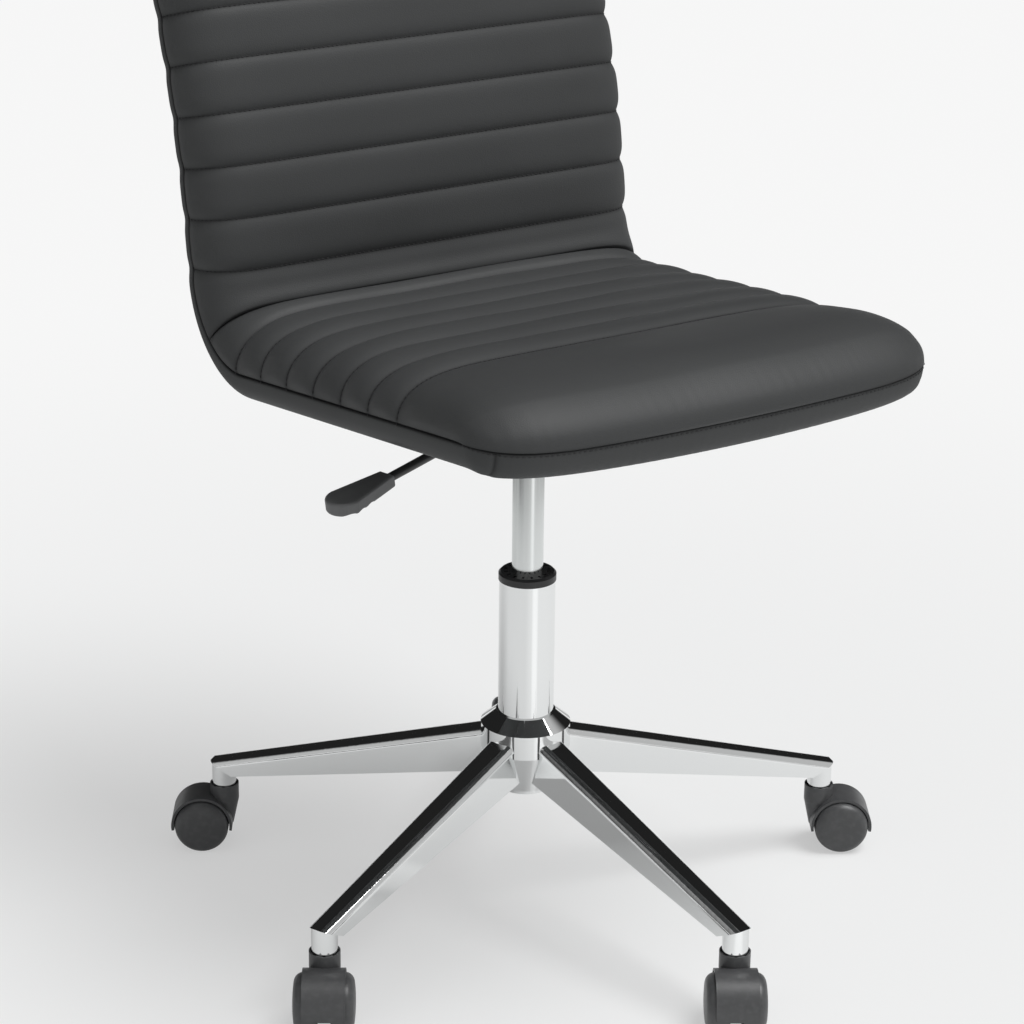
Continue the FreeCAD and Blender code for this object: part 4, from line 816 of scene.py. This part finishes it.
leather = Finish("leatherette", LEATHER_LIGHT, roughness=0.52)
seam = leather.add("ShaderNodeAttribute", "Fac", {"attribute_name": "seam"})
cloud = leather.noise(scale=9.0, detail=4.0) - 0.5
# The squared seam nearness paints shade into the valleys; the cloud is a random tone.
leather.tint(seam * seam * PAINTED_SEAM_SHADE + cloud * CLOUD_SHADE, LEATHER_DARK)
leather.roughen(seam * SEAM_ROUGHNESS + cloud * CLOUD_ROUGHNESS)
pebbles = leather.cells(scale=900.0) * PEBBLE_SHARE + leather.noise(scale=2400.0) * (1 - PEBBLE_SHARE)
leather.bump(pebbles, depth=0.00025, strength=0.5)
leather.set("Specular IOR Level", LEATHER_GLOSS)

thread = Finish("black_thread", (0.005, 0.005, 0.006), roughness=0.6)
twist = thread.add("ShaderNodeTexWave", "Fac", {}, {
    "Vector": thread.place, "Scale": 700.0, "Distortion": 2.0,
})
thread.tint(twist, (0.014, 0.014, 0.015))
thread.bump(twist, depth=0.0001, strength=0.5)
for piece in upholstery:
    piece.data.materials.clear()
    piece.data.materials.append(leather.material)
print("leather on", [piece.name for piece in upholstery])

# %% [markdown]
# Every channel is sewn with one row of stitches, and one more row follows the front seam. There are
# nearly two thousand of them, so Geometry Nodes lay them: the sewn lines become curves, points are set
# along the curves at the stitch pitch, and a short bead of thread is placed on each point and turned
# along the curve. The thread is a little shorter than the pitch, so the stitch holes show between.

# %% Lay the stitches
STITCH_PITCH = 0.0046
STITCH_LENGTH = 0.0031
THREAD_WIDTH = 0.0010
THREAD_LIFT = 0.0003
STITCH_SEED = 7
SHORTEST_STITCH, LONGEST_STITCH = 0.88, 1.06
BEAD = {"Segments": 6, "Rings": 4, "Radius": 0.5}
STITCH_INPUTS = {
    "Lines": "Geometry",
    "Pitch": "Float",
    "Length": "Float",
    "Width": "Float",
    "Seed": "Int",
    "Thread": "Material",
}


def line_mesh(name, lines):
    """An object with nothing but chains of edges."""
    points, edges = [], []
    for line in lines:
        first = len(points)
        points += line.tolist()
        edges += [(place, place + 1) for place in range(first, len(points) - 1)]
    mesh = bpy.data.meshes.new(name)
    mesh.from_pydata(points, edges, [])
    piece = bpy.data.objects.new(name, mesh)
    scene.collection.objects.link(piece)
    return piece


def stitch_tree():
    """Geometry Nodes that turn chains of edges into rows of stitches."""
    tree = bpy.data.node_groups.new("stitch_rows", "GeometryNodeTree")
    for name, kind in STITCH_INPUTS.items():
        tree.interface.new_socket(name=name, in_out="INPUT", socket_type="NodeSocket" + kind)
    tree.interface.new_socket(name="Stitches", in_out="OUTPUT", socket_type="NodeSocketGeometry")

    def add(kind, output, settings=None, values=None):
        return wire(tree, kind, output, settings, values)

    given = add_node(tree, "NodeGroupInput")
    sizes = {name: Wire(tree, given.outputs[name]) for name in STITCH_INPUTS}
    curve = add("GeometryNodeMeshToCurve", "Curve", {}, {"Mesh": sizes["Lines"]})
    spaced = add("GeometryNodeResampleCurve", "Curve", {"mode": "LENGTH"},
                 {"Curve": curve, "Length": sizes["Pitch"]})
    bead = add("GeometryNodeMeshUVSphere", "Mesh", {}, BEAD)
    tangent = add("GeometryNodeInputTangent", "Tangent")
    turned = add("FunctionNodeAlignRotationToVector", "Rotation", {"axis": "Z"}, {"Vector": tangent})
    uneven = add("FunctionNodeRandomValue", 1, {"data_type": "FLOAT"},
                 {2: SHORTEST_STITCH, 3: LONGEST_STITCH, "Seed": sizes["Seed"]})
    scale = add("ShaderNodeCombineXYZ", "Vector", {},
                {"X": sizes["Width"], "Y": sizes["Width"], "Z": sizes["Length"] * uneven})
    placed = add("GeometryNodeInstanceOnPoints", "Instances", {},
                 {"Points": spaced, "Instance": bead, "Rotation": turned, "Scale": scale})
    real = add("GeometryNodeRealizeInstances", "Geometry", {}, {"Geometry": placed})
    rounded = add("GeometryNodeSetShadeSmooth", "Geometry", {}, {"Geometry": real})
    dyed = add("GeometryNodeSetMaterial", "Geometry", {}, {"Geometry": rounded, "Material": sizes["Thread"]})
    add_node(tree, "NodeGroupOutput", {}, {"Stitches": dyed})
    return tree


def grown(piece, tree, sizes):
    """Runs a tree on a piece with the given sizes, and keeps the result as the piece's plain mesh."""
    modifier = piece.modifiers.new("grow", "NODES")
    modifier.node_group = tree
    for item in tree.interface.items_tree:
        if item.in_out == "INPUT" and item.name in sizes:
            modifier[item.identifier] = sizes[item.name]
    result = bpy.data.meshes.new_from_object(piece.evaluated_get(bpy.context.evaluated_depsgraph_get()))
    piece.modifiers.remove(modifier)
    piece.data = result
    return piece


def sewn_lines(points, rows):
    """The sewn rows of a cushion, lifted a little off the valley's floor."""
    lifted = points + outward(points) * THREAD_LIFT
    return [lifted[row][1:-1] for row in rows]


below_seam = bare_cover - outward(bare_cover) * THREAD_LIFT
front_line = (below_seam[0] + below_seam[1])[2:-2] / 2
lines = sewn_lines(seat_points, seat_sewn[:SEAT_LINES]) + sewn_lines(back_points, back_sewn[-BACK_LINES:])
stitches = grown(line_mesh("channel_stitches", lines + [front_line]), stitch_tree(), {
    "Pitch": STITCH_PITCH, "Length": STITCH_LENGTH, "Width": THREAD_WIDTH, "Seed": STITCH_SEED,
    "Thread": thread.material,
})
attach(stitches, "seat")
print("stitch faces", len(stitches.data.polygons))

# %% [markdown]
# The metal has four finishes. Chrome on the base and the tube is nearly a mirror, with faint smudges that
# only its roughness shows. The gas cylinder is satin, with fine lines along it from grinding, and small
# parts are zinc plated, with a cloudy crystal pattern. The plate under the seat and the lever's rod are
# powder coated. Painted pictures could show all this, but noise in a part's own coordinates has no seams,
# and it moves with the part.

# %% Mix the metals
chrome = Finish("chrome_plate", (0.89, 0.90, 0.90), roughness=0.035, metallic=1.0)
chrome.roughen(chrome.noise(scale=14.0, detail=3.0) * 0.05)

satin = Finish("satin_tube", (0.70, 0.72, 0.715), roughness=0.11, metallic=1.0)
drawn = satin.noise(scale=1.0, detail=3.0, place=satin.stretched((900.0, 900.0, 5.0)))
satin.tint(drawn, (0.86, 0.88, 0.875))
satin.roughen(drawn * 0.12)

zinc = Finish("zinc_plate", (0.46, 0.46, 0.48), roughness=0.24, metallic=1.0)
crystal = zinc.cells(scale=260.0)
zinc.tint(crystal, (0.62, 0.62, 0.63))
zinc.roughen(crystal * 0.2)

powder = Finish("black_powder_coat", (0.030, 0.030, 0.031), roughness=0.24)
powder.roughen(powder.noise(scale=40.0) * 0.16)
powder.bump(powder.noise(scale=1500.0), depth=0.00012, strength=0.6)
print("metals", [finish.material.name for finish in (chrome, satin, zinc, powder)])

# %% [markdown]
# The plastics differ in how they were moulded. The casters are nylon, dark grey with a soft gloss and
# lightly scuffed, the collar has a fine spark-eroded texture, and the lever's grip is a paler grey,
# rubbed by hands. Its paler grey is partly its own colour and partly painted light, since the grip sits
# in the seat's shadow. One black for all of them would be quicker, and they would look cast in one lump.
# The rubber stop and the plywood are inside the chair, and still get their own finish.

# %% Mix the plastics, the rubber and the wood
nylon = Finish("caster_nylon", (0.062, 0.063, 0.065), roughness=0.28)
scuff = nylon.ramp(nylon.noise(scale=180.0, detail=4.0), low=0.45, high=0.8)
nylon.tint(scuff, (0.080, 0.081, 0.083))
nylon.roughen(nylon.noise(scale=60.0, detail=3.0) * 0.2)
nylon.bump(nylon.noise(scale=1200.0), depth=0.00008, strength=0.5)

plastic = Finish("moulded_black", (0.022, 0.022, 0.023), roughness=0.28)
spark = plastic.noise(scale=1800.0, detail=1.0)
plastic.tint(plastic.noise(scale=25.0, detail=3.0), (0.036, 0.036, 0.037))
plastic.roughen(spark * 0.16)
plastic.bump(spark, depth=0.0001, strength=0.6)

# Paler grey, partly the grip's own colour and partly painted light for the seat's shadow.
grip = Finish("lever_grip_painted_light", (0.100, 0.102, 0.104), roughness=0.36)
worn = grip.noise(scale=70.0, detail=4.0)
grip.tint(worn, (0.135, 0.137, 0.139))
grip.roughen(worn * 0.16)
grip.bump(grip.noise(scale=1800.0, detail=1.0), depth=0.0001, strength=0.6)

rubber = Finish("black_rubber", (0.015, 0.015, 0.015), roughness=0.65)
rubber.roughen(rubber.noise(scale=300.0) * 0.25)
rubber.bump(rubber.noise(scale=900.0), depth=0.0002, strength=0.5)

plywood = Finish("beech_plywood", (0.40, 0.27, 0.15), roughness=0.5)
grain = plywood.noise(scale=1.0, detail=5.0, place=plywood.stretched((18.0, 160.0, 160.0)))
plywood.tint(grain, (0.60, 0.45, 0.29))
plywood.roughen(grain * 0.2)
print("others", [finish.material.name for finish in (nylon, plastic, grip, rubber, plywood)])

# %% [markdown]
# Each solid of the frame is listed in the record with the slot of its material, so one table from slot to
# finish dresses them all, where a list of names could forget one. Only the lever's grip differs from the
# other parts of its slot: its paler grey is partly painted light.

# %% Dress the CAD nodes
finish_of_slot = {
    "chrome": chrome,
    "steel": zinc,
    "zinc": satin,
    "black_steel": powder,
    "black_plastic": plastic,
    "nylon": nylon,
    "rubber": rubber,
    "plywood": plywood,
    "leather": leather,
}
for part in frame["record"]["subparts"]:
    dressed = frame["nodes"][part["node"]].data
    dressed.materials.clear()
    finish = grip if part["node"] == "lever_handle" else finish_of_slot[part["material_slot"]]
    dressed.materials.append(finish.material)

# %% [markdown]
# The chair stands on a plain pale floor that looks nearly white. Close to the chair about half of what
# the camera sees is the floor's own lit colour, with the chair's shadow, and further out it sees more and
# more of a plain glow. Light Path gives that glow to the camera and to reflections only, so it casts no
# light on the chair. Upright chrome mirrors the floor around the chair, and the glow that mirrors see is
# painted reflection: a bright side and one brighter streak, as by a window, a dim patch further out on
# the other side, and a painted shade of the chair close to the column. That gives the tubes their
# upright bands.

# %% Set the stage
FLOOR_HALF = 25.0
FLOOR_WHITE = 0.93
FLOOR_NEAR, FLOOR_FAR = 0.5, 2.0
LIFT_NEAR, LIFT_FAR = 0.52, 0.97
MIRROR_LIFT = 0.45
MIRROR_DIM, MIRROR_BRIGHT = 0.64, 0.86
NEAR_DIM, FAR_DIM = 0.72, 0.45
STREAK, FAR_STREAK, STREAK_WIDTH = 0.40, 0.55, 0.035
PATCH, PATCH_WIDTH = 0.25, 0.12
FAR_START, FAR_END = 0.95, 1.15
SHADE_START, SHADE_END = 0.15, 0.55
BRIGHT_START, BRIGHT_END = -0.15, 0.35
CAMERA_SIDE = Vector((-math.sin(CAMERA_HEADING), -math.cos(CAMERA_HEADING), 0))
CAMERA_RIGHT = Vector((math.cos(CAMERA_HEADING), -math.sin(CAMERA_HEADING), 0))
STREAK_SIDE = (CAMERA_SIDE + CAMERA_RIGHT * 0.65).normalized()
PATCH_SIDE = (CAMERA_SIDE - CAMERA_RIGHT * 1.3).normalized()

floor_mesh = bpy.data.meshes.new("floor")
corners = [(-FLOOR_HALF, -FLOOR_HALF, 0), (FLOOR_HALF, -FLOOR_HALF, 0), (FLOOR_HALF, FLOOR_HALF, 0),
           (-FLOOR_HALF, FLOOR_HALF, 0)]
floor_mesh.from_pydata(corners, [], [(0, 1, 2, 3)])
floor = bpy.data.objects.new("floor", floor_mesh)
scene.collection.objects.link(floor)
pale = Finish("pale_floor", (0.80, 0.81, 0.81), roughness=0.7)
rays = add_node(pale.tree, "ShaderNodeLightPath")
seen, glossy, through = [Wire(pale.tree, rays.outputs[name]) for name in
                         ("Is Camera Ray", "Is Glossy Ray", "Is Transmission Ray")]
mirrored = glossy + through
away = pale.add("ShaderNodeVectorMath", "Value", {"operation": "LENGTH"}, {0: pale.place})
heading = pale.add("ShaderNodeVectorMath", "Vector", {"operation": "NORMALIZE"}, {0: pale.place})


def soft_step(value, low, high, bottom=0.0, top=1.0):
    """A value turned into a soft step from one level to another."""
    ends = {"Value": value, "From Min": low, "From Max": high, "To Min": bottom, "To Max": top}
    return wire(value.tree, "ShaderNodeMapRange", "Result", {"interpolation_type": "SMOOTHSTEP"}, ends)


def towards(way, side):
    """How nearly one direction points to a side: 1 is straight there."""
    return wire(way.tree, "ShaderNodeVectorMath", "Value", {"operation": "DOT_PRODUCT"}, {0: way, 1: side})


lift = soft_step(away, FLOOR_NEAR, FLOOR_FAR, LIFT_NEAR, LIFT_FAR)
far = soft_step(away, FAR_START, FAR_END)
to_right = towards(heading, CAMERA_RIGHT)
# Painted reflection for mirrors: a brighter side, a streak as by a window, a dim patch and painted shade.
bright_side = soft_step(to_right, BRIGHT_START, BRIGHT_END, MIRROR_DIM, MIRROR_BRIGHT) * (1 - far * FAR_DIM)
at_streak = soft_step(towards(heading, STREAK_SIDE), 1 - STREAK_WIDTH, 1)
streak = at_streak * (STREAK + far * (FAR_STREAK - STREAK))
patch = soft_step(towards(heading, PATCH_SIDE), 1 - PATCH_WIDTH, 1) * far * PATCH
# Painted shade of the chair in what mirrors see, close to the column.
painted_chair_shade = soft_step(away, SHADE_START, SHADE_END, NEAR_DIM, 1)
painted_reflection = (bright_side + streak - patch) * painted_chair_shade
brightness = seen * FLOOR_WHITE + mirrored * painted_reflection
glow = pale.add("ShaderNodeEmission", "Emission", {}, {"Color": brightness})
lit = pale.add("ShaderNodeMixShader", "Shader", {}, {
    0: seen * lift + mirrored * (MIRROR_LIFT + far * (1 - MIRROR_LIFT)),
    1: Wire(pale.tree, pale.shader.outputs[0]),
    2: glow,
})
plug(pale.tree, pale.tree.nodes["Material Output"].inputs["Surface"], lit)
floor_mesh.materials.append(pale.material)
floor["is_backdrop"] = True
print("floor", 2 * FLOOR_HALF, "m across")

# %% [markdown]
# The studio has pale walls, a softly lit ceiling and a lit front, and a dark gap between wall and ceiling
# behind the chair and on the lever's side. The dark part matters: the arms' upper faces mirror it, and
# that is why they look black in the photograph. One wide key light comes from high up on the far side
# from the lever, so the shadows fall towards the lever. A sun lamp with a wide disc gives that light
# evenly, where a softbox would leave one side of the floor darker.

# %% Light the studio
WALL_LIGHT = 0.95
DOME_LIGHT = 0.50
STUDIO_DARK = 0.015
KEY_STRENGTH = 2.3
KEY_WIDTH = math.radians(34)
KEY_FROM = CAMERA_RIGHT * 0.45 + CAMERA_SIDE * 0.10 + Vector((0, 0, 1))
DARK_SIDE = (-CAMERA_SIDE - CAMERA_RIGHT * 0.40).normalized()
GAP_START, GAP_END = -0.05, 0.35
WALL_START, WALL_END = 0.03, 0.11
CEILING_START, CEILING_END = 0.78, 0.92

world = bpy.data.worlds.new("studio")
scene.world = world
world.use_nodes = True
air = world.node_tree
sky = air.nodes["Background"]
plug(air, sky.inputs["Color"], (1, 1, 1, 1))
direction = wire(air, "ShaderNodeTexCoord", "Generated")
height = wire(air, "ShaderNodeSeparateXYZ", "Z", {}, {"Vector": direction})
front = 1 - soft_step(towards(direction, DARK_SIDE), GAP_START, GAP_END)
ceiling = soft_step(height, CEILING_START, CEILING_END)
above_wall = soft_step(height, WALL_START, WALL_END)
dome = STUDIO_DARK + (1 - (1 - front) * (1 - ceiling)) * (DOME_LIGHT - STUDIO_DARK)
level = dome * above_wall + (1 - above_wall) * WALL_LIGHT
to_camera = wire(air, "ShaderNodeLightPath", "Is Camera Ray")
plug(air, sky.inputs["Strength"], level * (1 - to_camera) + to_camera * FLOOR_WHITE)

key = bpy.data.lights.new("key", "SUN")
key.energy = KEY_STRENGTH
key.angle = KEY_WIDTH
key_holder = bpy.data.objects.new("key", key)
scene.collection.objects.link(key_holder)
key_holder.matrix_world = KEY_FROM.to_track_quat("Z", "Y").to_matrix().to_4x4()
scene.view_settings.view_transform = "Standard"

# %% [markdown]
# The upholstery may stand a little proud of the CAD model, and no more, so the script keeps both boxes.

# %% Write the sizes and finish
shown_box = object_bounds()
for side, sign in ((0, -1), (1, 1)):
    proud = [round(sign * (shown - cad) * 1000, 1) for cad, shown in zip(cad_box[side], shown_box[side])]
    print(("lowest", "highest")[side], "corner stands proud by", proud, "mm")
